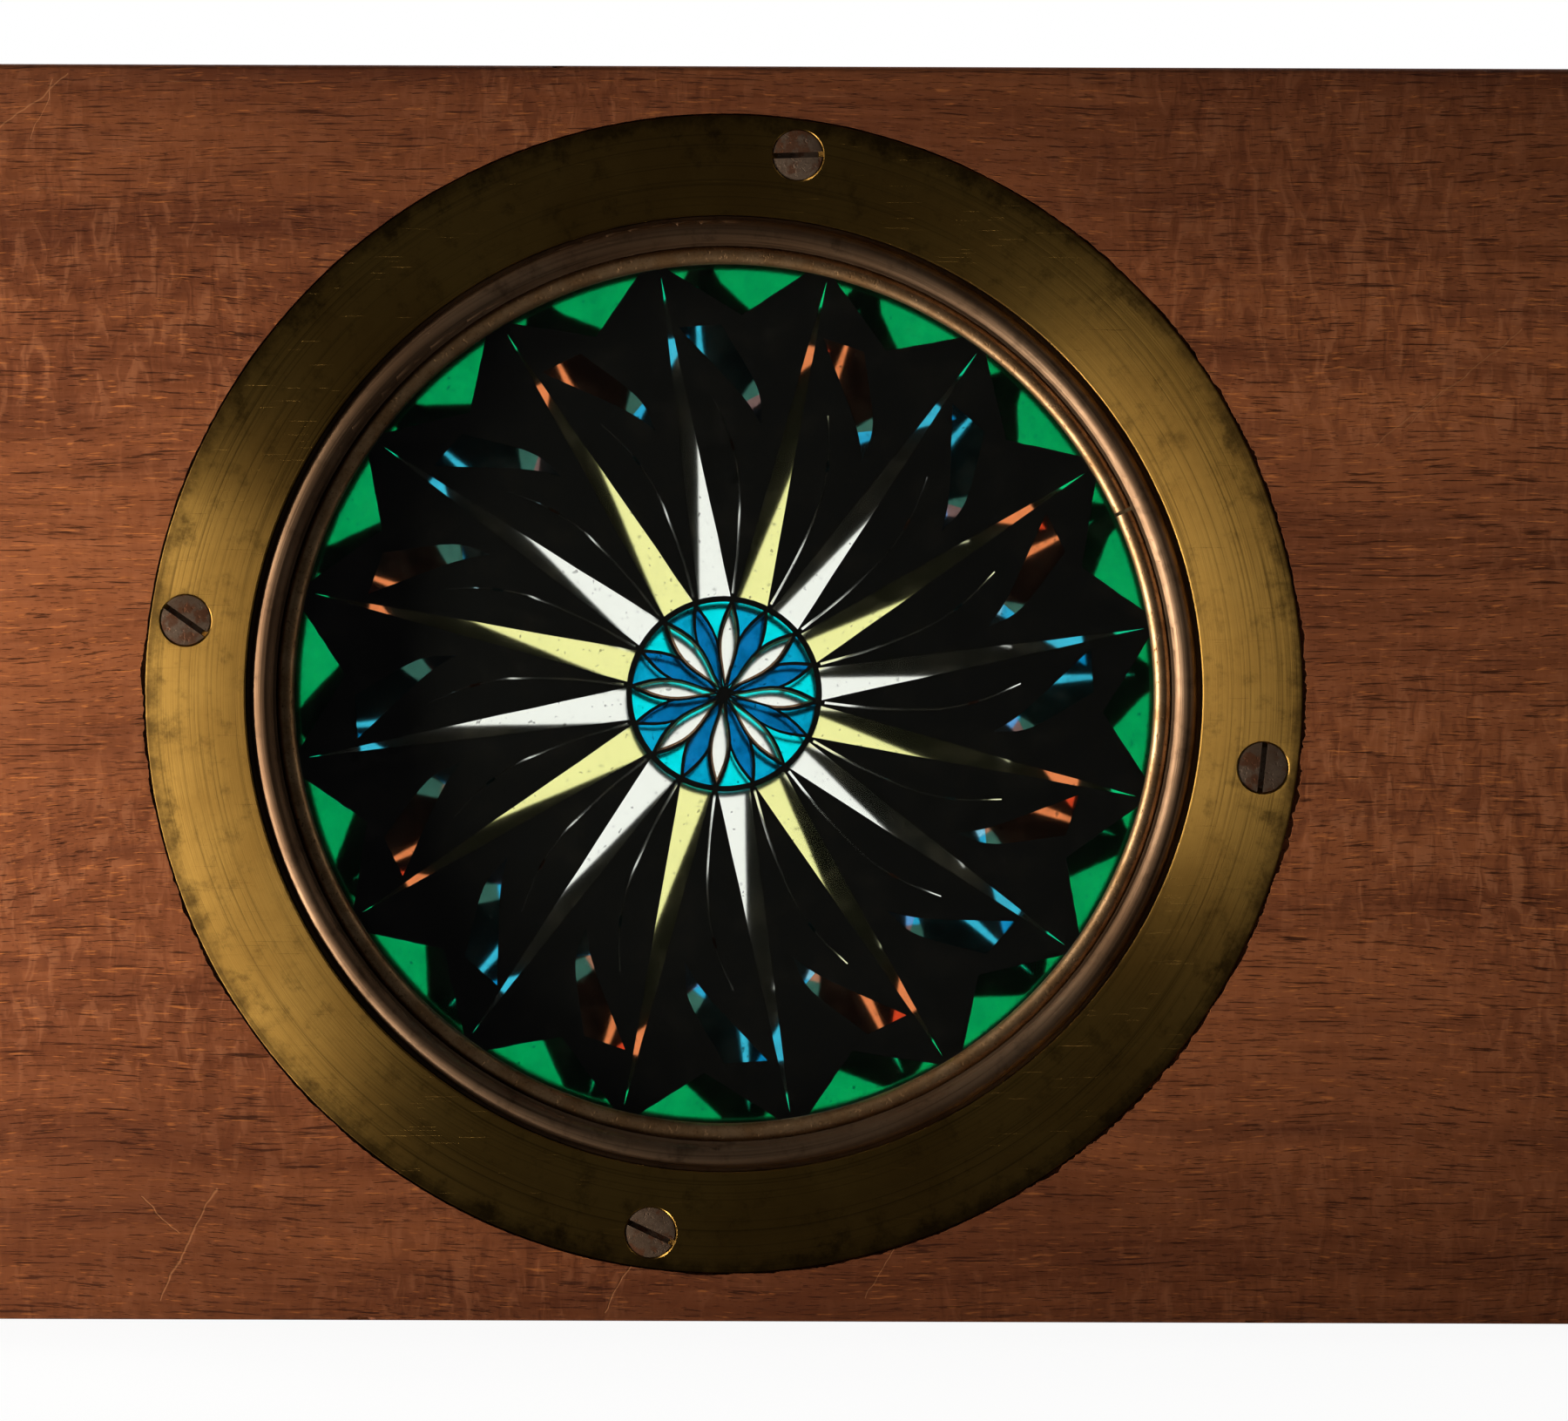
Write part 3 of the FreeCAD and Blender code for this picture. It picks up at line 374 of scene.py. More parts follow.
def turned_metal(name, clean, dull, stain, roughness, anisotropy, ring_pitch, wear):
    """Brass turned on a lathe about the optical axis: fine circular tool marks that spread the light
    outwards from the axis, tarnish in clouds, and fine scratches across."""
    material, tree = new_material(name)
    radius, outward = around_axis(tree)
    depth = put(tree, "SeparateXYZ", {0: millimetres(tree)}).outputs[1]
    pitches = put(tree, "CombineXYZ", {
        0: times(tree, radius, 1 / ring_pitch), 1: times(tree, depth, 1 / ring_pitch)}).outputs[0]
    lathe_place = vector_maths(tree, "ADD", pitches, vector_maths(tree, "MULTIPLY", outward, (1.6, 1.6, 1.6)))
    tooling = speckle(tree, lathe_place, rough=0.7)
    fine = speckle(tree, vector_maths(tree, "MULTIPLY", lathe_place, (3.1, 3.1, 3.1)), detail=2.0)
    clouds = cloud(tree, 0.055, detail=6.0, rough=0.62)
    mottle = cloud(tree, 0.5, detail=5.0, rough=0.7, offset=21.0)
    scratches = random_scratches(tree, (17, 64, 112, 158), 6.0, 0.07, 0.245, 3.0)
    ragged_radius = maths(tree, "ADD", radius, times(tree, mottle, 5.0))
    rim = span(tree, ragged_radius, RING_OUTER_R + 0.6, RING_OUTER_R + 2.8)

    colour = overlay(
        tree, blend_colour(tree, span(tree, clouds, 0.36, 0.66), clean, dull),
        (span(tree, mottle, 0.50, 0.74), 0.5, stain),
        (rim, 0.75, stain),
        (span(tree, tooling, 0.50, 0.26), 0.60, stain),
        (scratches, wear, stain),
    )
    uneven = relief(
        tree,
        (tooling, 0.60, 0.15 * ring_pitch),
        (fine, 0.40, 0.008),
        (one_minus(tree, scratches), 0.5, 0.015),
    )
    rough = span(tree, maths(tree, "ADD", clouds, times(tree, tooling, 0.5)), 0.5, 1.0,
                 roughness - 0.06, roughness + 0.10)
    spread = put(tree, "VectorTransform", {0: outward}, vector_type="VECTOR",
                 convert_from="OBJECT", convert_to="WORLD").outputs[0]
    return finish_material(material, principled(tree, {
        "Base Color": colour, "Metallic": 1.0, "Roughness": rough, "Anisotropic": anisotropy,
        "Tangent": spread, "Normal": uneven}))


def plain_metal(name, clean, dull, stain, roughness, streaks=(1.0, 1.0, 1.0), rust=0.0, metallic=1.0):
    """A small fitting, filed or drawn: streaks along its making, tarnish in clouds, pits and rust."""
    material, tree = new_material(name)
    clouds = cloud(tree, 0.35, detail=5.0, rough=0.65)
    filed = cloud(tree, tuple(5.0 * s for s in streaks), offset=8.0)
    pits = span(tree, cloud(tree, 3.0, offset=15.0), 0.58, 0.72)
    colour = overlay(
        tree, blend_colour(tree, span(tree, clouds, 0.34, 0.64), clean, dull),
        (span(tree, filed, 0.5, 0.8), 0.5, stain),
        (pits, 0.6, stain),
    )
    if rust:
        rusty = span(tree, cloud(tree, 0.9, detail=5.0, offset=33.0), 0.50, 0.62)
        colour = overlay(tree, colour, (rusty, rust, "#6b3a1c"))
    dullness = maths(tree, "ADD", clouds, pits)
    return finish_material(material, principled(tree, {
        "Base Color": colour, "Metallic": metallic,
        "Roughness": span(tree, dullness, 0.3, 1.2, roughness - 0.06, roughness + 0.18),
        "Normal": relief(tree, (filed, 0.35, 0.02), (one_minus(tree, pits), 0.5, 0.03))}))


# Glass, paint and varnish

# Varnish lies in contact with the glass, so only its small difference from the glass bends light.
FILM_IOR = 1.12


def let_lamps_through(tree, shader, tint):
    """The shader for the eye, and plain tinted clearness for the rays that ask for a lamp."""
    path = put(tree, "LightPath").outputs["Is Shadow Ray"]
    clear = put(tree, "BsdfTransparent", {"Color": linear(tint)}).outputs[0]
    return put(tree, "MixShader", {0: path, 1: shader, 2: clear}).outputs[0]


def make_window_glass():
    """Thin cylinder glass, ground true at the edge: clear, faintly green, with a slow waviness."""
    material, tree = new_material("window_glass")
    glass = principled(tree, {
        "Base Color": linear("#fdfffe"), "Roughness": 0.0, "IOR": 1.32, "Transmission Weight": 1.0,
        "Normal": relief(tree, (cloud(tree, 0.05, detail=1.0), 0.25, 0.02))})
    return finish_material(material, let_lamps_through(tree, glass, "#eef6f0"))


def make_varnish(name, tint, roughness, haze, streak):
    """Transparent varnish colour brushed on glass: an even tint with brush streaks and specks of
    dust, and a surface just uneven enough to blur what lies behind it."""
    material, tree = new_material(name)
    specks = span(tree, cloud(tree, 2.2, detail=1.0, offset=13.0), 0.70, 0.76)
    brushed = cloud(tree, 0.45, detail=5.0, rough=0.7)
    level = span(tree, brushed, 0.30, 0.62, 1.0 - streak, 1.0)
    level = maths(tree, "SUBTRACT", level, times(tree, specks, 0.5))
    tint_rgb = linear(tint)[:3]
    colour = put(tree, "VectorMath", {0: tint_rgb, "Scale": level}, operation="SCALE").outputs[0]
    film = principled(tree, {
        "Base Color": colour, "Roughness": roughness, "IOR": FILM_IOR, "Transmission Weight": 1.0})
    film = let_lamps_through(tree, film, tint)
    dusty = put(tree, "BsdfDiffuse", {"Color": linear("#b8ab95")}).outputs[0]
    share = span(tree, brushed, 0.45, 0.75, haze * 0.3, haze * 1.7)
    return finish_material(material, put(tree, "MixShader", {0: share, 1: film, 2: dusty}).outputs[0])


def make_black_paint():
    """Opaque black brushed on glass and scraped back by hand: near black with thin brown places."""
    material, tree = new_material("black_slide_paint")
    thin = cloud(tree, 0.3, detail=5.0, rough=0.7)
    strokes = cloud(tree, (1.6, 1.6, 0.3), offset=6.0)
    return finish_material(material, principled(tree, {
        "Base Color": blend_colour(tree, span(tree, thin, 0.45, 0.75), "#060505", "#0e0b08"),
        "Roughness": 0.55, "IOR": 1.45, "Specular IOR Level": 0.12,
        "Normal": relief(tree, (strokes, 0.3, 0.02))}))


MAHOGANY = make_mahogany()
ROSEWOOD = make_knob_wood()
COVER_BRASS = turned_metal("turned_cover_brass", "#b8924a", "#a07c3c", "#4c3a1d", 0.45, 0.95, 0.20, 0.45)
CELL_BRASS = turned_metal("browned_cell_brass", "#93785f", "#745a44", "#33251a", 0.50, 0.5, 0.45, 0.25)
WIRE_BRASS = plain_metal("drawn_brass_wire", "#b0906c", "#8c6c4a", "#3c2b1a", 0.48)
SCREW_IRON = plain_metal("old_screw_iron", "#8c7867", "#6b5747", "#33261d", 0.50, rust=0.65, metallic=0.85)
FITTING_BRASS = plain_metal("filed_fitting_brass", "#b8924a", "#9a7638", "#55401f", 0.36, (0.4, 1.6, 0.3))
SHAFT_STEEL = plain_metal("dull_shaft_steel", "#8f8a84", "#6f6861", "#3a3029", 0.34, (2.5, 0.5, 0.5), 0.25)
WINDOW_GLASS = make_window_glass()
BLACK_PAINT = make_black_paint()


# Mesh helpers

def at(angle, radius, out, side):
    """The point at an angle, a radius and a distance from the middle plane, in metres."""
    turn = math.radians(angle)
    return Vector((radius * math.cos(turn), side * out, AXIS_Z + radius * math.sin(turn))) * MM


def new_object(name, data):
    """An object in the scene for a mesh, a lamp or a camera."""
    made = bpy.data.objects.new(name, data)
    bpy.context.scene.collection.objects.link(made)
    return made


def mesh_object(name, bm, material=None):
    """Turns a bmesh into an object."""
    mesh = bpy.data.meshes.new(name)
    bm.to_mesh(mesh)
    bm.free()
    if material is not None:
        mesh.materials.append(material)
    return new_object(name, mesh)


def shade(made, angle):
    """Smooth round faces, flat level ones, and hard edges where the surface turns by more than an angle.
    Normals that came with a CAD mesh no longer fit its merged points and are left out."""
    mesh = made.data
    came_with = mesh.attributes.get("custom_normal")
    if came_with:
        mesh.attributes.remove(came_with)
    level = 0.999995
    mesh.polygons.foreach_set("use_smooth", [max(abs(c) for c in p.normal) < level for p in mesh.polygons])
    mesh.set_sharp_from_angle(angle=math.radians(angle))


def join_rings(bm, rings, closed=True, open_sides=()):
    """Faces between each ring of points and the next, but for the sides of the rings that stay open."""
    next_rings = rings[1:] + rings[:1] if closed else rings[1:]
    for ring, following in zip(rings, next_rings):
        for index in range(len(ring)):
            if index not in open_sides:
                other = (index + 1) % len(ring)
                bm.faces.new((ring[index], ring[other], following[other], following[index]))


def lathe(name, profile, place, steps, material=None):
    """A closed profile of (radius, height) turned about an axis.
    place(angle, radius, height) gives a point."""
    bm = bmesh.new()
    rings = []
    for step in range(steps):
        angle = 360 * step / steps
        rings.append([bm.verts.new(place(angle, radius, height)) for radius, height in profile])
    next_points = profile[1:] + profile[:1]
    on_axis = [i for i, (a, b) in enumerate(zip(profile, next_points)) if a[0] == 0 and b[0] == 0]
    join_rings(bm, rings, open_sides=on_axis)
    bmesh.ops.remove_doubles(bm, verts=bm.verts, dist=1e-7)
    bmesh.ops.recalc_face_normals(bm, faces=bm.faces)
    return mesh_object(name, bm, material)


def arc_points(centre, radius, start, end, steps):
    """Points of an arc in a profile, both ends included."""
    turns = [math.radians(start + (end - start) * i / steps) for i in range(steps + 1)]
    return [(centre[0] + radius * math.cos(t), centre[1] + radius * math.sin(t)) for t in turns]


def apply_modifiers(made):
    """Bakes the modifiers of an object into its mesh."""
    graph = bpy.context.evaluated_depsgraph_get()
    graph.update()
    baked = bpy.data.meshes.new_from_object(made.evaluated_get(graph))
    made.modifiers.clear()
    made.data = baked


def cut(made, cutter):
    """Takes a closed cutter away from a mesh for good and removes the cutter."""
    step = made.modifiers.new("cut", "BOOLEAN")
    step.operation = "DIFFERENCE"
    step.solver = "EXACT"
    step.use_self = True
    step.object = cutter
    apply_modifiers(made)
    bpy.data.objects.remove(cutter)


def finer_copy(node, name, material, bevel=0.0, smooth_angle=30):
    """A copy of a CAD node with its points merged, its sharp edges broken and its round faces smooth."""
    bm = bmesh.new()
    bm.from_mesh(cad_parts[node].data)
    bmesh.ops.remove_doubles(bm, verts=bm.verts, dist=1e-6)
    if bevel:
        bmesh.ops.dissolve_limit(bm, angle_limit=math.radians(1.0), verts=bm.verts, edges=bm.edges)
    made = mesh_object(name, bm, material)
    if bevel:
        step = made.modifiers.new("broken edges", "BEVEL")
        step.width = bevel * MM
        step.segments = 2
        step.limit_method = "ANGLE"
        step.angle_limit = math.radians(40)
        step.use_clamp_overlap = True
        apply_modifiers(made)
    shade(made, smooth_angle)
    return made


def give(made, body, slot, *nodes):
    """Hangs a piece on the body it rides on and hides the CAD nodes it stands for. The slot, its finish, is
    not used.
    """
    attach(made, body)
    if nodes:
        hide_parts(*nodes)


# The board

# Where the wood has torn away round the front ring: from angle, to angle, greatest width
TEARS = (
    (-62, -28, 0.30),
    (-30, 12, 0.42),
    (8, 44, 0.26),
    (44, 60, 0.12),
    (150, 166, 0.10),
    (172, 192, 0.30),
    (196, 214, 0.24),
    (220, 236, 0.14),
    (262, 300, 0.16),
)
LEAST_TEAR = 0.04
TEAR_DEPTH = 0.9
TEAR_STEPS = 1800
# How ragged the torn edge is: waves across the radius, shift of the noise, share of the width
TEAR_NOISE = ((14, 0, 0.75), (60, 5, 0.65), (190, 9, 0.45))
# How far the cutting band reaches inside the recess and above the face
BAND_INSET = 0.25
BAND_TOP = 0.4

# Chips seen on the long arrises of the front: along X, size, height of the arris
SEEN_CHIPS = (
    (-29.2, 1.1, BOARD_LOW.z),
    (-27.6, 0.6, BOARD_LOW.z),
    (43.5, 1.0, BOARD_LOW.z),
    (47.0, 0.7, BOARD_LOW.z),
    (53.5, 0.8, BOARD_LOW.z),
    (-13.5, 0.9, BOARD_HIGH.z),
    (-12.0, 0.5, BOARD_HIGH.z),
)
LONG_ARRIS_CHIPS = 26
END_ARRIS_CHIPS = 14
CHIP_FREE_CORNER = 3


def tear_width(angle, seed):
    """How far the ragged edge of the recess stands outside the ring's seat at an angle."""
    turn = math.radians(angle)
    widest = LEAST_TEAR
    for start, end, width in TEARS:
        middle = (start + end) / 2
        off = abs((angle - middle + 180) % 360 - 180) / ((end - start) / 2)
        if off < 1:
            widest = max(widest, width * (1 - off ** 4))
    ragged = 0.45
    for waves, shift, share in TEAR_NOISE:
        place = Vector((math.cos(turn) * waves, math.sin(turn) * waves, seed + shift))
        ragged += share * noise.noise(place)
    return widest * ragged


def ragged_band(side, seed):
    """A closed band that cuts the torn wood away round a ring's seat."""
    bm = bmesh.new()
    rings = []
    inner = RECESS_R - BAND_INSET
    for step in range(TEAR_STEPS):
        angle = 360 * step / TEAR_STEPS
        torn = max(RECESS_R + tear_width(angle, seed), RECESS_R - 0.05)
        section = (
            (inner, FACE + BAND_TOP),
            (torn + 0.1, FACE + BAND_TOP),
            (torn, FACE - 0.05),
            (torn - 0.03, FACE - TEAR_DEPTH),
            (inner, FACE - TEAR_DEPTH - 0.1),
        )
        rings.append([bm.verts.new(at(angle, radius, out, side)) for radius, out in section])
    join_rings(bm, rings)
    bmesh.ops.recalc_face_normals(bm, faces=bm.faces)
    return mesh_object("torn_wood", bm)


def add_chip(bm, centre, size, stretch, rng):
    """A small uneven lump that takes a chip out of an arris."""
    made = bmesh.ops.create_icosphere(bm, subdivisions=1, radius=size * MM)
    for vertex in made["verts"]:
        uneven = 0.75 + 0.5 * rng.random()
        lump = Vector((vertex.co.x * stretch, vertex.co.y * 0.45, vertex.co.z * 0.4))
        vertex.co = lump * uneven + centre * MM


def chip_lumps():
    """Lumps for the chips that the photograph shows and for more wear round the other arrises."""
    rng = random.Random(14)
    bm = bmesh.new()
    for x, size, z in SEEN_CHIPS:
        add_chip(bm, Vector((x, -FACE, z)), size, 1.5, rng)
    for _ in range(LONG_ARRIS_CHIPS):
        x = rng.uniform(BOARD_LOW.x + CHIP_FREE_CORNER, BOARD_HIGH.x - CHIP_FREE_CORNER)
        z = rng.choice((BOARD_LOW.z, BOARD_HIGH.z))
        centre = Vector((x, rng.choice((-FACE, FACE)), z))
        add_chip(bm, centre, rng.uniform(0.25, 0.5), rng.uniform(1.2, 2.4), rng)
    for _ in range(END_ARRIS_CHIPS):
        x = rng.choice((BOARD_LOW.x, BOARD_HIGH.x))
        z = rng.uniform(BOARD_LOW.z + CHIP_FREE_CORNER, BOARD_HIGH.z - CHIP_FREE_CORNER)
        centre = Vector((x, rng.choice((-FACE, FACE)), z))
        add_chip(bm, centre, rng.uniform(0.3, 0.7), 0.8, rng)
    return mesh_object("chips", bm)


def make_board():
    """The mahogany board with torn wood round both rings and chipped arrises."""
    board = finer_copy("mahogany_frame", "mahogany_board", MAHOGANY)
    cut(board, ragged_band(-1, 1.0))
    cut(board, ragged_band(1, 8.0))
    cut(board, chip_lumps())
    shade(board, 30)
    give(board, "frame", "mahogany", "mahogany_frame")


# Cover rings and their screws

COUNTERSINK_R = 2.13
COUNTERSINK_SHIFT = 0.03
RING_ROUND = 0.14
HEAD_ANGLE = 42
HEAD_SUNK = 0.04
ROUND_SHADE_ANGLE = 32

# The shank of a wood screw: its core, and its thread with a width, a taper and a number of turns
SHANK_R = 0.62
THREAD_R = 0.95
THREAD_WIDTH = 0.32
THREAD_TAPER = 0.04
THREAD_TURNS = 7


def screw_angle(index, side):
    """Where a ring screw stands, seen from the front. The rear ring is the front one turned round."""
    angle = FIRST_SCREW_ANGLE + 90 * index
    return angle if side < 0 else 180 - angle


def make_cover_ring(side, name, node):
    """A flat brass ring with softened edges and four countersunk holes. The cones that cut them are
    1.2 times as large as the countersinks, so that they end above the face."""
    profile = [(RING_INNER_R, RING_BACK), (RING_OUTER_R, RING_BACK)]
    profile += arc_points((RING_OUTER_R - RING_ROUND, FACE - RING_ROUND), RING_ROUND, 0, 90, 4)
    profile += arc_points((RING_INNER_R + RING_ROUND, FACE - RING_ROUND), RING_ROUND, 90, 180, 4)
    ring = lathe(name, profile, lambda a, r, h: at(a, r, h, side), 300, COVER_BRASS)
    holes = bmesh.new()
    depth = COUNTERSINK_R / math.tan(math.radians(HEAD_ANGLE))
    turn = Matrix.Rotation(math.radians(90 * side), 4, "X")
    for index in range(4):
        centre = at(screw_angle(index, side), SCREW_CIRCLE_R, 0, side)
        centre += Vector((COUNTERSINK_SHIFT, 0, -COUNTERSINK_SHIFT)) * MM
        cone = bmesh.ops.create_cone(holes, cap_ends=True, segments=64, radius1=COUNTERSINK_R * 1.2 * MM,
                                     radius2=0.0002, depth=1.2 * depth * MM)
        for vertex in cone["verts"]:
            vertex.co = turn @ vertex.co
            vertex.co += centre + Vector((0, side * (FACE + 0.2 * depth - 0.6 * depth), 0)) * MM
    cut(ring, mesh_object("countersinks", holes))
    shade(ring, ROUND_SHADE_ANGLE)
    give(ring, "frame", "cover_brass", node)


def make_screw_pattern(length):
    """One slotted wood screw along +Z with its head's face at height 0, as a pattern to be set out."""
    profile = [(0.0, 0.0), (SCREW_HEAD_R - 0.22, 0.0), (SCREW_HEAD_R - 0.05, -0.03), (SCREW_HEAD_R, -0.12),
               (1.05, -1.25), (THREAD_R, -1.6)]
    for turn in range(THREAD_TURNS):
        low = -1.9 - (length - 3.0) * turn / THREAD_TURNS
        profile += [(SHANK_R, low), (THREAD_R - THREAD_TAPER * turn, low - THREAD_WIDTH / 2),
                    (SHANK_R, low - THREAD_WIDTH)]
    profile += [(0.0, -length)]

    def upright(angle, radius, height):
        turn = math.radians(angle)
        return Vector((radius * math.cos(turn), radius * math.sin(turn), height)) * MM

    screw = lathe("screw_pattern", profile, upright, 40)
    slot = bmesh.new()
    made = bmesh.ops.create_cube(slot, size=1.0)
    for vertex in made["verts"]:
        wide = 0.50 if vertex.co.z > 0 else 0.40
        vertex.co = Vector((vertex.co.x * 5.0, vertex.co.y * wide, vertex.co.z - 0.05)) * MM
    cut(screw, mesh_object("slot", slot))
    return screw


def build_screw_tree():
    """Sets a screw pattern on each point, turned by the point's own turn and leaned by its lean."""
    tree = bpy.data.node_groups.new("screws_on_marks", "GeometryNodeTree")
    sockets = (("Marks", "Geometry"), ("Screw", "Object"), ("Finish", "Material"), ("Lean", "Vector"))
    for name, kind in sockets:
        tree.interface.new_socket(name, in_out="INPUT", socket_type=f"NodeSocket{kind}")
    tree.interface.new_socket("Screws", in_out="OUTPUT", socket_type="NodeSocketGeometry")
    given = put(tree, "NodeGroupInput").outputs
    info = put(tree, "GeometryNodeObjectInfo", {"Object": given["Screw"]}).outputs
    turn = put(tree, "GeometryNodeInputNamedAttribute", {"Name": "turn"}, data_type="FLOAT").outputs[0]
    own = put(tree, "CombineXYZ", {2: turn}).outputs[0]
    points = put(tree, "GeometryNodeInstanceOnPoints", {
        "Points": given["Marks"], "Instance": info["Geometry"], "Rotation": given["Lean"]}).outputs[0]
    turned = put(tree, "GeometryNodeRotateInstances", {
        "Instances": points, "Rotation": own, "Local Space": True}).outputs[0]
    plain = put(tree, "GeometryNodeRealizeInstances", {0: turned}).outputs[0]
    done = put(tree, "GeometryNodeSetMaterial", {"Geometry": plain, "Material": given["Finish"]}).outputs[0]
    put(tree, "NodeGroupOutput", {"Screws": done})
    return tree


SCREW_TREE = build_screw_tree()


def make_screws(name, places, turns, lean, length, nodes):
    """A set of screws at places in metres, each with its slot's turn, as one mesh."""
    bm = bmesh.new()
    for place in places:
        bm.verts.new(place)
    marks = mesh_object(name, bm)
    turn = marks.data.attributes.new("turn", "FLOAT", "POINT")
    turn.data.foreach_set("value", [math.radians(a) for a in turns])
    pattern = make_screw_pattern(length)
    step = marks.modifiers.new("screws", "NODES")
    step.node_group = SCREW_TREE
    given = {"Screw": pattern, "Finish": SCREW_IRON, "Lean": [math.radians(a) for a in lean]}
    for item in SCREW_TREE.interface.items_tree:
        if item.name in given:
            step[item.identifier] = given[item.name]
    apply_modifiers(marks)
    bpy.data.objects.remove(pattern)
    shade(marks, ROUND_SHADE_ANGLE)
    give(marks, "frame", "screw_iron", *nodes)


def make_rings_and_screws():
    """Both cover rings with four screws each, and the two screws of the end plate."""
    make_cover_ring(-1, "front_brass_ring", "front_cover_ring")
    make_cover_ring(1, "rear_brass_ring", "rear_cover_ring")
    sets = ((-1, "front", FRONT_SLOTS, (90, 0, 0)), (1, "rear", REAR_SLOTS, (90, 0, 180)))
    for side, name, slots, lean in sets:
        places = [at(screw_angle(index, side), SCREW_CIRCLE_R, FACE - HEAD_SUNK, side) for index in range(4)]
        nodes = [f"{name}_ring_screw_{index}" for index in range(1, 5)]
        make_screws(f"{name}_iron_screws", places, slots, lean, RING_SCREW_LENGTH, nodes)
    up = (PLATE_SCREW_LOW.z + PLATE_SCREW_HIGH.z) / 2 - AXIS_Z
    places = [Vector((PLATE_SCREW_HIGH.x - 0.03, 0, AXIS_Z + sign * up)) * MM for sign in (1, -1)]
    make_screws("plate_iron_screws", places, PLATE_SLOTS, (0, 90, 0), PLATE_SCREW_HIGH.x - PLATE_SCREW_LOW.x,
                ["end_plate_screw_1", "end_plate_screw_2"])


# Cells and wire rings

WIRE_STEPS = 300
WIRE_SIDES = 20
# How far the wire strays from a true ring, and the share of its thickness that its two ends keep
WIRE_STRAY = 0.035
WIRE_END_SHARE = 0.93


def make_wire_ring(side, name, body, node):
    """A split ring of drawn wire, sprung into the cell by hand and so a little uneven."""
    centre_r = WIRE_OUTER_R - WIRE_R
    centre_out = -(WIRE_LOW.y + WIRE_HIGH.y) / 2
    half_gap = math.degrees(WIRE_GAP / 2 / centre_r)
    bm = bmesh.new()
    rings = []
    for step in range(WIRE_STEPS + 1):
        share = step / WIRE_STEPS
        turn = WIRE_GAP_ANGLE + half_gap + (360 - 2 * half_gap) * share
        angle = turn if side < 0 else 180 - turn
        wander = WIRE_STRAY * noise.noise(Vector((share * 9, 2.0 + side, 0)))
        thick = WIRE_R * (WIRE_END_SHARE if step in (0, WIRE_STEPS) else 1.0)
        ring = []
        for index in range(WIRE_SIDES):
            section = 2 * math.pi * index / WIRE_SIDES
            radius = centre_r + wander - WIRE_STRAY + thick * math.cos(section)
            ring.append(bm.verts.new(at(angle, radius, centre_out + thick * math.sin(section) * 0.99, side)))
        rings.append(ring)
    join_rings(bm, rings, closed=False)
    bm.faces.new(rings[0])
    bm.faces.new(rings[-1])
    bmesh.ops.recalc_face_normals(bm, faces=bm.faces)
    ring = mesh_object(name, bm, WIRE_BRASS)
    shade(ring, 50)
    give(ring, body, "wire_brass", node)


def make_cells():
    """The two turning cells with their wire rings and glass."""
    for side, name in ((-1, "front"), (1, "rear")):
        body = f"{name}_disc"
        cell = finer_copy(f"{name}_cell", f"{name}_brass_cell", CELL_BRASS, smooth_angle=34)
        give(cell, body, "cell_brass", f"{name}_cell")
        make_wire_ring(side, f"{name}_split_wire", body, f"{name}_wire_ring")
        glass = finer_copy(f"{name}_glass", f"{name}_disc_glass", WINDOW_GLASS)
        give(glass, body, "disc_glass", f"{name}_glass")


# Crank

# The knob's two scribed lines: where along it, and how deep and wide
SCRIBED_SHARES = (0.62, 0.70)
SCRIBED_DEPTH = 0.12
SCRIBED_HALF_WIDTH = 0.22


def make_knob():
    """The turned knob with its foot ring, hollow waist, round belly and two scribed lines."""
    centre_z = (KNOB_LOW.z + KNOB_HIGH.z) / 2
    length = KNOB_HIGH.x - KNOB_LOW.x
    outline = sorted({(round(v.co.x / MM - KNOB_LOW.x, 3),
                       round(math.hypot(v.co.y / MM, v.co.z / MM - centre_z), 3))
                      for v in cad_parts["crank_knob"].data.vertices})
    bore = min(radius for _, radius in outline)
    profile = [(bore, 0.0)]
    for height in sorted({h for h, _ in outline}):
        radius = max(r for h, r in outline if h == height)
        groove = 0.0
        for share in SCRIBED_SHARES:
            groove += SCRIBED_DEPTH * max(0.0, 1 - abs(height - length * share) / SCRIBED_HALF_WIDTH)
        profile.append((radius - groove, height))
    profile.append((bore, length))

    def along_x(angle, radius, height):
        turn = math.radians(angle)
        return Vector((KNOB_LOW.x + height, radius * math.cos(turn), centre_z + radius * math.sin(turn))) * MM

    knob = lathe("rosewood_knob", profile, along_x, 96, ROSEWOOD)
    shade(knob, 38)
    give(knob, "knob", "knob_wood", "crank_knob")


def make_crank():
    """The drive, from the pinion between the cells to the arm outside the board."""
    parts = (
        ("pinion", "cut_pinion", FITTING_BRASS, "fitting_brass", 0.05, "crank"),
        ("pinion_pin", "pinion_cross_pin", SCREW_IRON, "screw_iron", 0.05, "crank"),
        ("thrust_washer", "shaft_collar", FITTING_BRASS, "fitting_brass", 0.08, "crank"),
        ("crank_arm", "filed_crank_arm", FITTING_BRASS, "fitting_brass", 0.22, "crank"),
        ("crank_nut", "arm_nut", FITTING_BRASS, "fitting_brass", 0.18, "crank"),
        ("crank_shaft", "steel_crank_shaft", SHAFT_STEEL, "shaft_steel", 0.08, "crank"),
        ("knob_spindle", "steel_knob_spindle", SHAFT_STEEL, "shaft_steel", 0.10, "crank"),
        ("inner_bush", "turned_inner_bush", FITTING_BRASS, "fitting_brass", 0.10, "frame"),
        ("end_plate", "filed_end_plate", FITTING_BRASS, "fitting_brass", 0.16, "frame"),
    )
    for node, name, material, slot, bevel, body in parts:
        give(finer_copy(node, name, material, bevel), body, slot, node)
    make_knob()


# Painted films

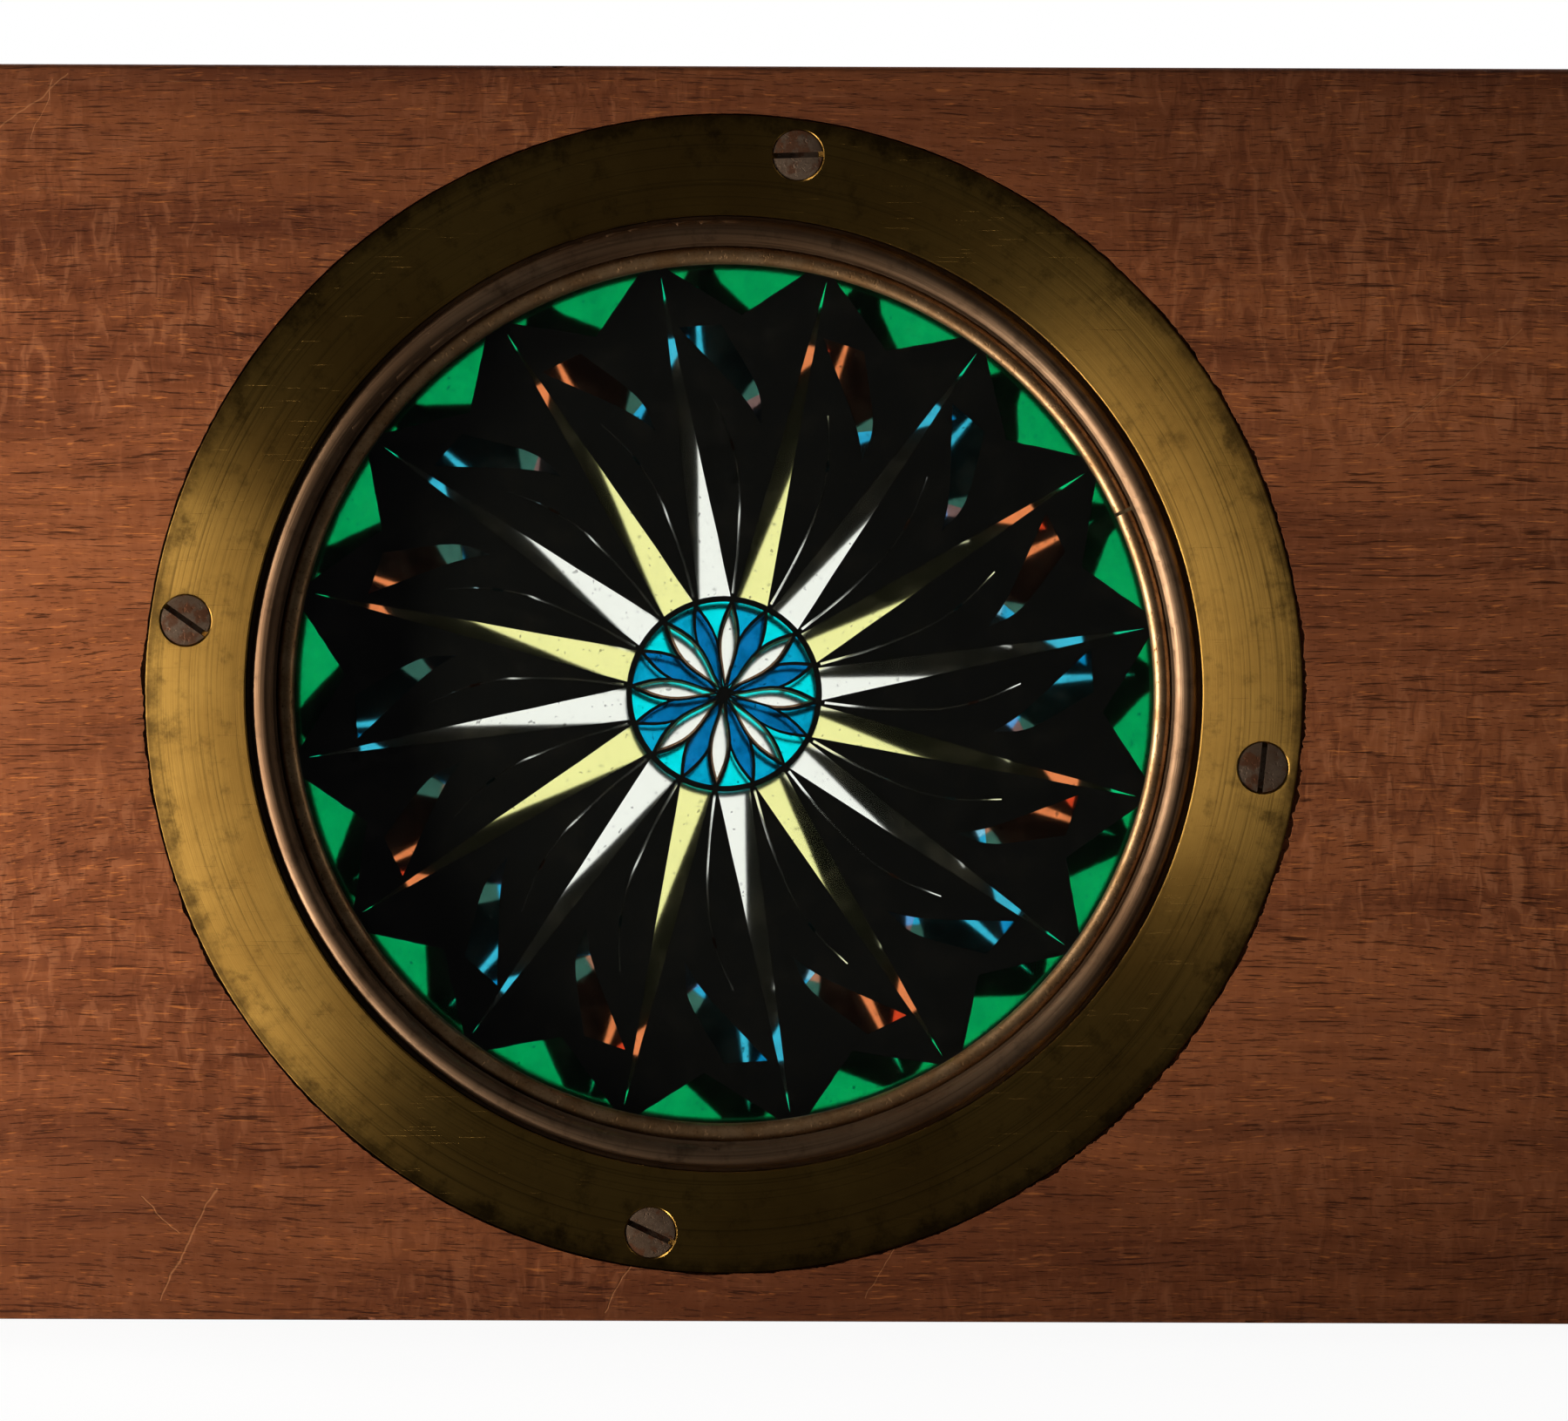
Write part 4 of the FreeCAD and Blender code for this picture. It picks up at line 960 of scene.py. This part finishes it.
PAINT_R = 34.87
ROSETTE_R = 7.9
ROSETTE_LINE = 0.42
FILM_GAP = 0.02
FILM_THICKNESS = 0.05
FRONT_FILM_ROUGHNESS = 0.20
REAR_FILM_ROUGHNESS = 0.12
RAYS = 16
PERIOD = 360 / RAYS

# One ray, shard and rim triangle of the front disc, as (angle, radius) corners.
# A ray's base is two angles on the rosette's edge, and a rim triangle's two angles on the rim.
RAY_TIP = (8.9, 34.6)
RAY_BASE = (-3.85, 15.65)
REAR_RAY_TIP = (3.7, 34.1)
REAR_RAY_BASE = (-6.0, 13.9)
CURVED_LINE = ((17.5, 8.2), (17.1, 12.2), (18.2, 16.5), (19.6, 19.0), (21.8, 21.5), (24.6, 24.1))
SHARD_SIDES = (
    ((14.5, 22.0), (16.4, 25.1), (22.9, 30.0)),
    ((14.5, 22.0), (19.3, 24.4), (29.6, 30.0)),
)
RIM_CORNERS = (11.4, 30.2)
RIM_TIP = (19.8, 30.8)
CURVE_STEPS = 6
MIRROR_ANGLE = 35.1
REAR_OFFSET = (-0.19, -0.52)
PETALS = 8
PETAL_PERIOD = 360 / PETALS
PETAL_TIP_R = 7.35
PETAL_STEPS = 9
PETAL_WIDEST_SHARE = 0.55
WHITE_PETAL = -4.5
BLUE_PETAL = 18.4

# What each colour is called, its tint when light passes one film of it, its haze and its brush streaks
VARNISHES = {
    "clear": ("clear_varnish", "#fffffb", 0.013, 0.01),
    "yellow": ("yellow_varnish", "#fffdd0", 0.011, 0.04),
    "red": ("red_varnish", "#f08a66", 0.008, 0.25),
    "blue": ("blue_varnish", "#3cc0e2", 0.008, 0.25),
    "pale": ("pale_blue_varnish", "#bfe6f4", 0.008, 0.15),
    "middle": ("middle_blue_varnish", "#84b4e6", 0.008, 0.15),
    "green": ("green_varnish", "#06cc96", 0.006, 0.14),
    "cyan": ("cyan_varnish", "#04f6fa", 0.006, 0.12),
    "sky": ("sky_blue_varnish", "#02b4dc", 0.006, 0.30),
    "deep": ("deep_blue_varnish", "#027cba", 0.006, 0.35),
    "brown": ("scratched_brown_edge", "#7a5a44", 0.10, 0.30),
}


def polar(angle, radius):
    """A flat point from an angle and a radius."""
    turn = math.radians(angle)
    return Vector((radius * math.cos(turn), radius * math.sin(turn)))


def round_outline(radius, steps):
    """A circle as a closed outline."""
    return [polar(360 / steps * step, radius) for step in range(steps)]


def stepped(points, rng, pieces, wobble):
    """A closed outline with each side split up and its points moved a little, as a hand would."""
    result = []
    for start, end in zip(points, points[1:] + points[:1]):
        result.append(start)
        for piece in range(1, pieces):
            place = start.lerp(end, piece / pieces)
            result.append(place + Vector((rng.uniform(-wobble, wobble), rng.uniform(-wobble, wobble))))
    return result


def curve_through(corners, turn):
    """A smooth line through (angle, radius) corners that are turned about the axis."""
    points = [polar(angle + turn, radius) for angle, radius in corners]
    ends = [2 * points[0] - points[1]] + points + [2 * points[-1] - points[-2]]
    line = []
    for before, start, end, after in zip(ends, ends[1:], ends[2:], ends[3:]):
        for step in range(CURVE_STEPS):
            t = step / CURVE_STEPS
            square = (2 * before - 5 * start + 4 * end - after) * t ** 2
            cube = (3 * start - before - 3 * end + after) * t ** 3
            line.append(0.5 * (2 * start + (end - before) * t + square + cube))
    return line + [points[-1]]


def ribbon(line, width_at):
    """A closed outline along a line, with a half width for each share of its length."""
    left = []
    right = []
    for index, point in enumerate(line):
        ahead = line[min(index + 1, len(line) - 1)] - line[max(index - 1, 0)]
        aside = Vector((-ahead.y, ahead.x)).normalized() * width_at(index / (len(line) - 1))
        left.append(point + aside)
        right.append(point - aside)
    return right + left[::-1]


def lens(angle, inner, outer, half_width):
    """A pointed petal on a ray at an angle, from one radius to another."""
    along = polar(angle, 1)
    aside = Vector((-along.y, along.x))
    left = []
    right = []
    for step in range(PETAL_STEPS + 1):
        share = step / PETAL_STEPS
        bulge = math.sin(math.pi * share ** (math.log(0.5) / math.log(PETAL_WIDEST_SHARE)))
        place = along * (inner + (outer - inner) * share)
        left.append(place + aside * half_width * bulge)
        right.append(place - aside * half_width * bulge)
    return right + left[-2:0:-1]


def ray(tip, base, turn, rng):
    """One long pointed ray from the rosette to the rim."""
    base_r = ROSETTE_R - 0.1
    corners = [polar(base[0] + turn, base_r), polar(tip[0] + turn, tip[1]), polar(base[1] + turn, base_r)]
    return stepped(corners, rng, 10, 0.028)


def shard(turn, share=1.0):
    """A leaning shard between two rays, whole or only the inner share of it."""
    left, right = [curve_through(side, turn) for side in SHARD_SIDES]
    count = max(3, round(len(left) * share))
    return left[:count] + right[:count][:0:-1]


def rim_triangle(turn, rng):
    """A green triangle that stands on the rim and points inwards."""
    rim_r = PAINT_R - 0.03
    first, last = RIM_CORNERS
    pieces = 8
    corners = [polar(first + turn, rim_r), polar(RIM_TIP[0] + turn, RIM_TIP[1]), polar(last + turn, rim_r)]
    sides = stepped(corners, rng, pieces, 0.03)[:2 * pieces + 1]
    return sides + [polar(last + (first - last) * step / pieces + turn, rim_r) for step in range(1, pieces)]


def star_regions(rng, rear):
    """All painted shapes of one disc, later ones lying over earlier ones, as (colour, outline)."""
    regions = [("black", round_outline(PAINT_R, 180))]
    tip, base = (REAR_RAY_TIP, REAR_RAY_BASE) if rear else (RAY_TIP, RAY_BASE)
    for index in range(RAYS):
        near = PERIOD * index + rng.uniform(-0.25, 0.25)
        regions.append(("green", rim_triangle(near, rng)))
        even = index % 2 == 0
        regions.append(("blue" if even == rear else "red", shard(near)))
        regions.append(("pale" if rear or even else "middle", shard(near, 0.5)))
        line = curve_through(CURVED_LINE, near)
        regions.append(("clear", ribbon(line, lambda s: 0.10 - 0.055 * s)))
        regions.append(("blue" if even else "red", ribbon(line[20:23], lambda s: 0.12)))
    if rear:
        regions = [regions[0]] + [(colour, mirrored(points)) for colour, points in regions[1:]]
        regions = [(colour, reach_rim(points, REAR_OFFSET)) for colour, points in regions]
    for index in range(RAYS):
        colour = "clear" if index % 2 == 0 else "yellow"
        lean = rng.uniform(-0.35, 0.35)
        reach = (tip[0] + lean, tip[1] - rng.uniform(0.0, 0.5))
        regions.append((colour, ray(reach, base, PERIOD * index, rng)))
    return regions + rosette_regions(rng, rear)


def reach_rim(points, offset):
    """The outline with its points at the rim moved so that they are back at the rim after an offset."""
    aside = Vector(offset)
    result = []
    for point in points:
        if point.length > PAINT_R - 0.2:
            way = point.normalized()
            across = way.dot(aside)
            point = way * (math.sqrt(across ** 2 - aside.length_squared + point.length_squared) - across)
        result.append(point)
    return result


def mirrored(points):
    """The same outline seen from behind, turned to where the rear disc stands."""
    turn = math.radians(MIRROR_ANGLE)
    cos, sin = math.cos(turn), math.sin(turn)
    return [Vector((p.x * cos + p.y * sin, p.x * sin - p.y * cos)) for p in points][::-1]


def anticlockwise(points):
    """The outline in anticlockwise order."""
    area = sum(a.x * b.y - b.x * a.y for a, b in zip(points, points[1:] + points[:1]))
    return points if area > 0 else points[::-1]


def rosette_regions(rng, rear):
    """The blue flower in the middle: eight clear and eight blue petals with blue corners between."""
    regions = [("black", round_outline(ROSETTE_R + 0.05, 60))]
    field_r = ROSETTE_R - ROSETTE_LINE
    for index in range(PETALS):
        start = WHITE_PETAL + PETAL_PERIOD * index
        middle = BLUE_PETAL + PETAL_PERIOD * index
        for first, last, colour in ((start, middle, "cyan"), (middle, start + PETAL_PERIOD, "sky")):
            edge = [polar(first + (last - first) * step / 6, field_r) for step in range(7)]
            regions.append(("cyan" if rear else colour, edge + [polar((first + last) / 2, 0.5)]))
    for index in range(PETALS):
        sway = rng.uniform(-0.8, 0.8)
        wide = rng.uniform(0.95, 1.15)
        start = WHITE_PETAL + PETAL_PERIOD * index + sway
        middle = BLUE_PETAL + PETAL_PERIOD * index + sway
        regions.append(("black", lens(middle, 0.3, ROSETTE_R, 0.90 * wide)))
        regions.append(("cyan" if rear else "deep", lens(middle, 0.75, PETAL_TIP_R - 0.1, 0.70 * wide)))
        regions.append(("black", lens(start, 0.3, ROSETTE_R, 0.92 * wide)))
        if not rear:
            regions.append(("brown", lens(start, 0.75, PETAL_TIP_R - 0.1, 0.72 * wide)))
        regions.append(("clear", lens(start, 1.15, PETAL_TIP_R - 0.5, 0.56 * wide)))
    regions.append(("black", round_outline(0.62, 12)))
    return regions


def triangles_by_colour(regions):
    """Flat corners of the whole painting, and the triangles of each colour that lies uppermost."""
    points = []
    faces = []
    for _, outline in regions:
        faces.append(list(range(len(points), len(points) + len(outline))))
        points.extend(anticlockwise(outline))
    result = geometry.delaunay_2d_cdt(points, [], faces, 1, 1e-4)
    corners, triangles, owners = result[0], result[2], result[5]
    shares = {}
    for triangle, owner in zip(triangles, owners):
        if owner:
            shares.setdefault(regions[max(owner)][0], []).append(triangle)
    return corners, shares


def outer_edges(triangles):
    """The edges of a flat patch that only one of its triangles has, in that triangle's direction."""
    edges = {}
    for triangle in triangles:
        for start, end in zip(triangle, triangle[1:] + triangle[:1]):
            if (end, start) in edges:
                del edges[(end, start)]
            else:
                edges[(start, end)] = True
    return edges


def paint_disc(name, side, body, regions, offset, roughness):
    """Lays the regions out as closed films, one mesh for each colour, on the inner face of a glass."""
    corners, shares = triangles_by_colour(regions)
    outs = (GLASS_BACK - FILM_GAP, GLASS_BACK - FILM_GAP - FILM_THICKNESS)
    for colour, kept in sorted(shares.items()):
        bm = bmesh.new()
        layers = {}
        for index in sorted({i for triangle in kept for i in triangle}):
            spot = corners[index] + Vector(offset)
            layers[index] = [bm.verts.new(Vector((spot.x, side * out, AXIS_Z + spot.y)) * MM) for out in outs]
        for triangle in kept:
            bm.faces.new([layers[i][0] for i in triangle])
            bm.faces.new([layers[i][1] for i in triangle[::-1]])
        for start, end in outer_edges(kept):
            bm.faces.new((layers[end][0], layers[start][0], layers[start][1], layers[end][1]))
        bmesh.ops.recalc_face_normals(bm, faces=bm.faces)
        material = BLACK_PAINT if colour == "black" else varnish(colour, roughness)
        give(mesh_object(f"{name}_{colour}_paint", bm, material), body, "disc_paint")


def varnish(colour, roughness):
    """The varnish material of a colour for the front or the rear film."""
    label, tint, haze, streak = VARNISHES[colour]
    return make_varnish(f"{label}_{round(roughness * 100)}", tint, roughness, haze, streak)


def make_paint():
    """The painted stars of both discs: the rear one is a mirror image, a little off centre."""
    front = star_regions(random.Random(3), False)
    rear = star_regions(random.Random(8), True)
    paint_disc("front", -1, "front_disc", front, (0, 0), FRONT_FILM_ROUGHNESS)
    paint_disc("rear", 1, "rear_disc", rear, REAR_OFFSET, REAR_FILM_ROUGHNESS)


# Stage, light and camera

FLOOR_REACH = 4.0
# Share of plain white in the floor as the eye sees it. The rest is the lit floor with its shadow.
FLOOR_WHITE_SHARE = 0.93
ROOM_LEVEL = 0.05
FRONT_GLOSS = 0.052
BACK_GLOSS = 0.4

# Name, place, width, height, watts, colour
LAMPS = (
    ("left_low_lamp", (-250, -76, -6), 24, 330, 2.15, "#fff4e6"),
    ("right_fill_lamp", (440, -90, 140), 60, 460, 0.16, "#fff4e6"),
    ("back_soft_lamp", (-260, 420, 420), 300, 300, 5.0, "#ffffff"),
    ("top_soft_lamp", (220, 170, 520), 200, 260, 1.6, "#ffffff"),
)


def make_floor():
    """A pale floor that the slide stands on. To the eye it is nearly white, and keeps the shadow."""
    material, tree = new_material("pale_floor")
    seen = put(tree, "LightPath").outputs["Is Camera Ray"]
    lit = put(tree, "BsdfDiffuse", {"Color": linear("#e6e4e0")}).outputs[0]
    glow = put(tree, "Emission", {"Color": linear("#ffffff"), "Strength": 1.0}).outputs[0]
    share = times(tree, seen, FLOOR_WHITE_SHARE)
    finish_material(material, put(tree, "MixShader", {0: share, 1: lit, 2: glow}).outputs[0])
    bm = bmesh.new()
    ends = ((-1, -1), (1, -1), (1, 1), (-1, 1))
    bm.faces.new([bm.verts.new((x * FLOOR_REACH, y * FLOOR_REACH, 0)) for x, y in ends])
    floor = mesh_object("pale_floor", bm, material)
    floor.visible_glossy = False
    floor.visible_transmission = False
    floor.visible_shadow = False


def make_world():
    """White for the eye and through the glass. Metal sees it dimmed behind the slide, and a dim room
    in front. A ray that was mirrored inside a glass and comes back out of it sees the dim room."""
    world = bpy.data.worlds.new("white_backdrop_and_dim_room")
    bpy.context.scene.world = world
    world.use_nodes = True
    tree = world.node_tree
    tree.nodes.clear()
    path = put(tree, "LightPath").outputs
    straight = maths(tree, "LESS_THAN", path["Glossy Depth"], 0.5)
    through = times(tree, path["Is Transmission Ray"], straight)
    seen = greatest(tree, path["Is Camera Ray"], through)
    direction = put(tree, "TexCoord").outputs["Generated"]
    way = put(tree, "SeparateXYZ", {0: direction}).outputs[1]
    front = span(tree, way, -0.998, -0.93, FRONT_GLOSS * 0.2, FRONT_GLOSS)
    behind = span(tree, way, 0.25, 0.75, front, BACK_GLOSS)
    bent = greatest(tree, path["Is Glossy Ray"], path["Is Transmission Ray"])
    gloss = times(tree, bent, behind)
    room = times(tree, one_minus(tree, bent), ROOM_LEVEL)
    level = greatest(tree, seen, gloss, room)
    back = put(tree, "Background", {"Color": linear("#ffffff"), "Strength": level})
    put(tree, "OutputWorld", {"Surface": back.outputs[0]})


def all_but_glass():
    """A set for the lamps: they light everything but the glass, which would only mirror them."""
    chosen = bpy.data.collections.new("not_mirrored_in_glass")
    for name in ("front_disc_glass", "rear_disc_glass"):
        chosen.objects.link(bpy.data.objects[name])
    for member in chosen.collection_objects:
        member.light_linking.link_state = "EXCLUDE"
    return chosen


def make_lamps():
    """A strong low lamp on the left, a weaker one on the right, and soft ones for the back and end.
    All are rectangles aimed at the middle of the slide."""
    chosen = all_but_glass()
    for name, place, width, height, watts, colour in LAMPS:
        data = bpy.data.lights.new(name, "AREA")
        data.shape = "RECTANGLE"
        data.size = width * MM
        data.size_y = height * MM
        data.energy = watts
        data.color = linear(colour)[:3]
        lamp = new_object(name, data)
        lamp.location = Vector(place) * MM
        aim = Vector((0, 0, AXIS_Z)) - Vector(place)
        lamp.rotation_euler = aim.to_track_quat("-Z", "Y").to_euler()
        lamp.visible_camera = False
        lamp.light_linking.receiver_collection = chosen


def make_camera():
    """A long lens square to the front, framed as the photograph."""
    data = bpy.data.cameras.new("camera")
    data.sensor_width = SENSOR
    data.sensor_fit = "HORIZONTAL"
    data.lens = SENSOR * CAMERA_DISTANCE / (PHOTO_WIDTH * MM_PER_PIXEL)
    data.clip_start = 0.01
    camera = new_object("camera", data)
    across = (PHOTO_WIDTH / 2 - AXIS_PIXEL_X) * MM_PER_PIXEL
    up = AXIS_Z + (AXIS_PIXEL_Y - PHOTO_HEIGHT / 2) * MM_PER_PIXEL
    level = Matrix.Rotation(math.radians(90), 4, "X") @ Matrix.Rotation(math.radians(PHOTO_ROLL), 4, "Z")
    camera.matrix_world = Matrix.Translation(Vector((across, -FACE - CAMERA_DISTANCE, up)) * MM) @ level
    bpy.context.scene.camera = camera


make_board()
make_rings_and_screws()
make_cells()
make_crank()
make_paint()
make_floor()
make_world()
make_lamps()
make_camera()
bpy.context.scene.view_settings.view_transform = "Standard"
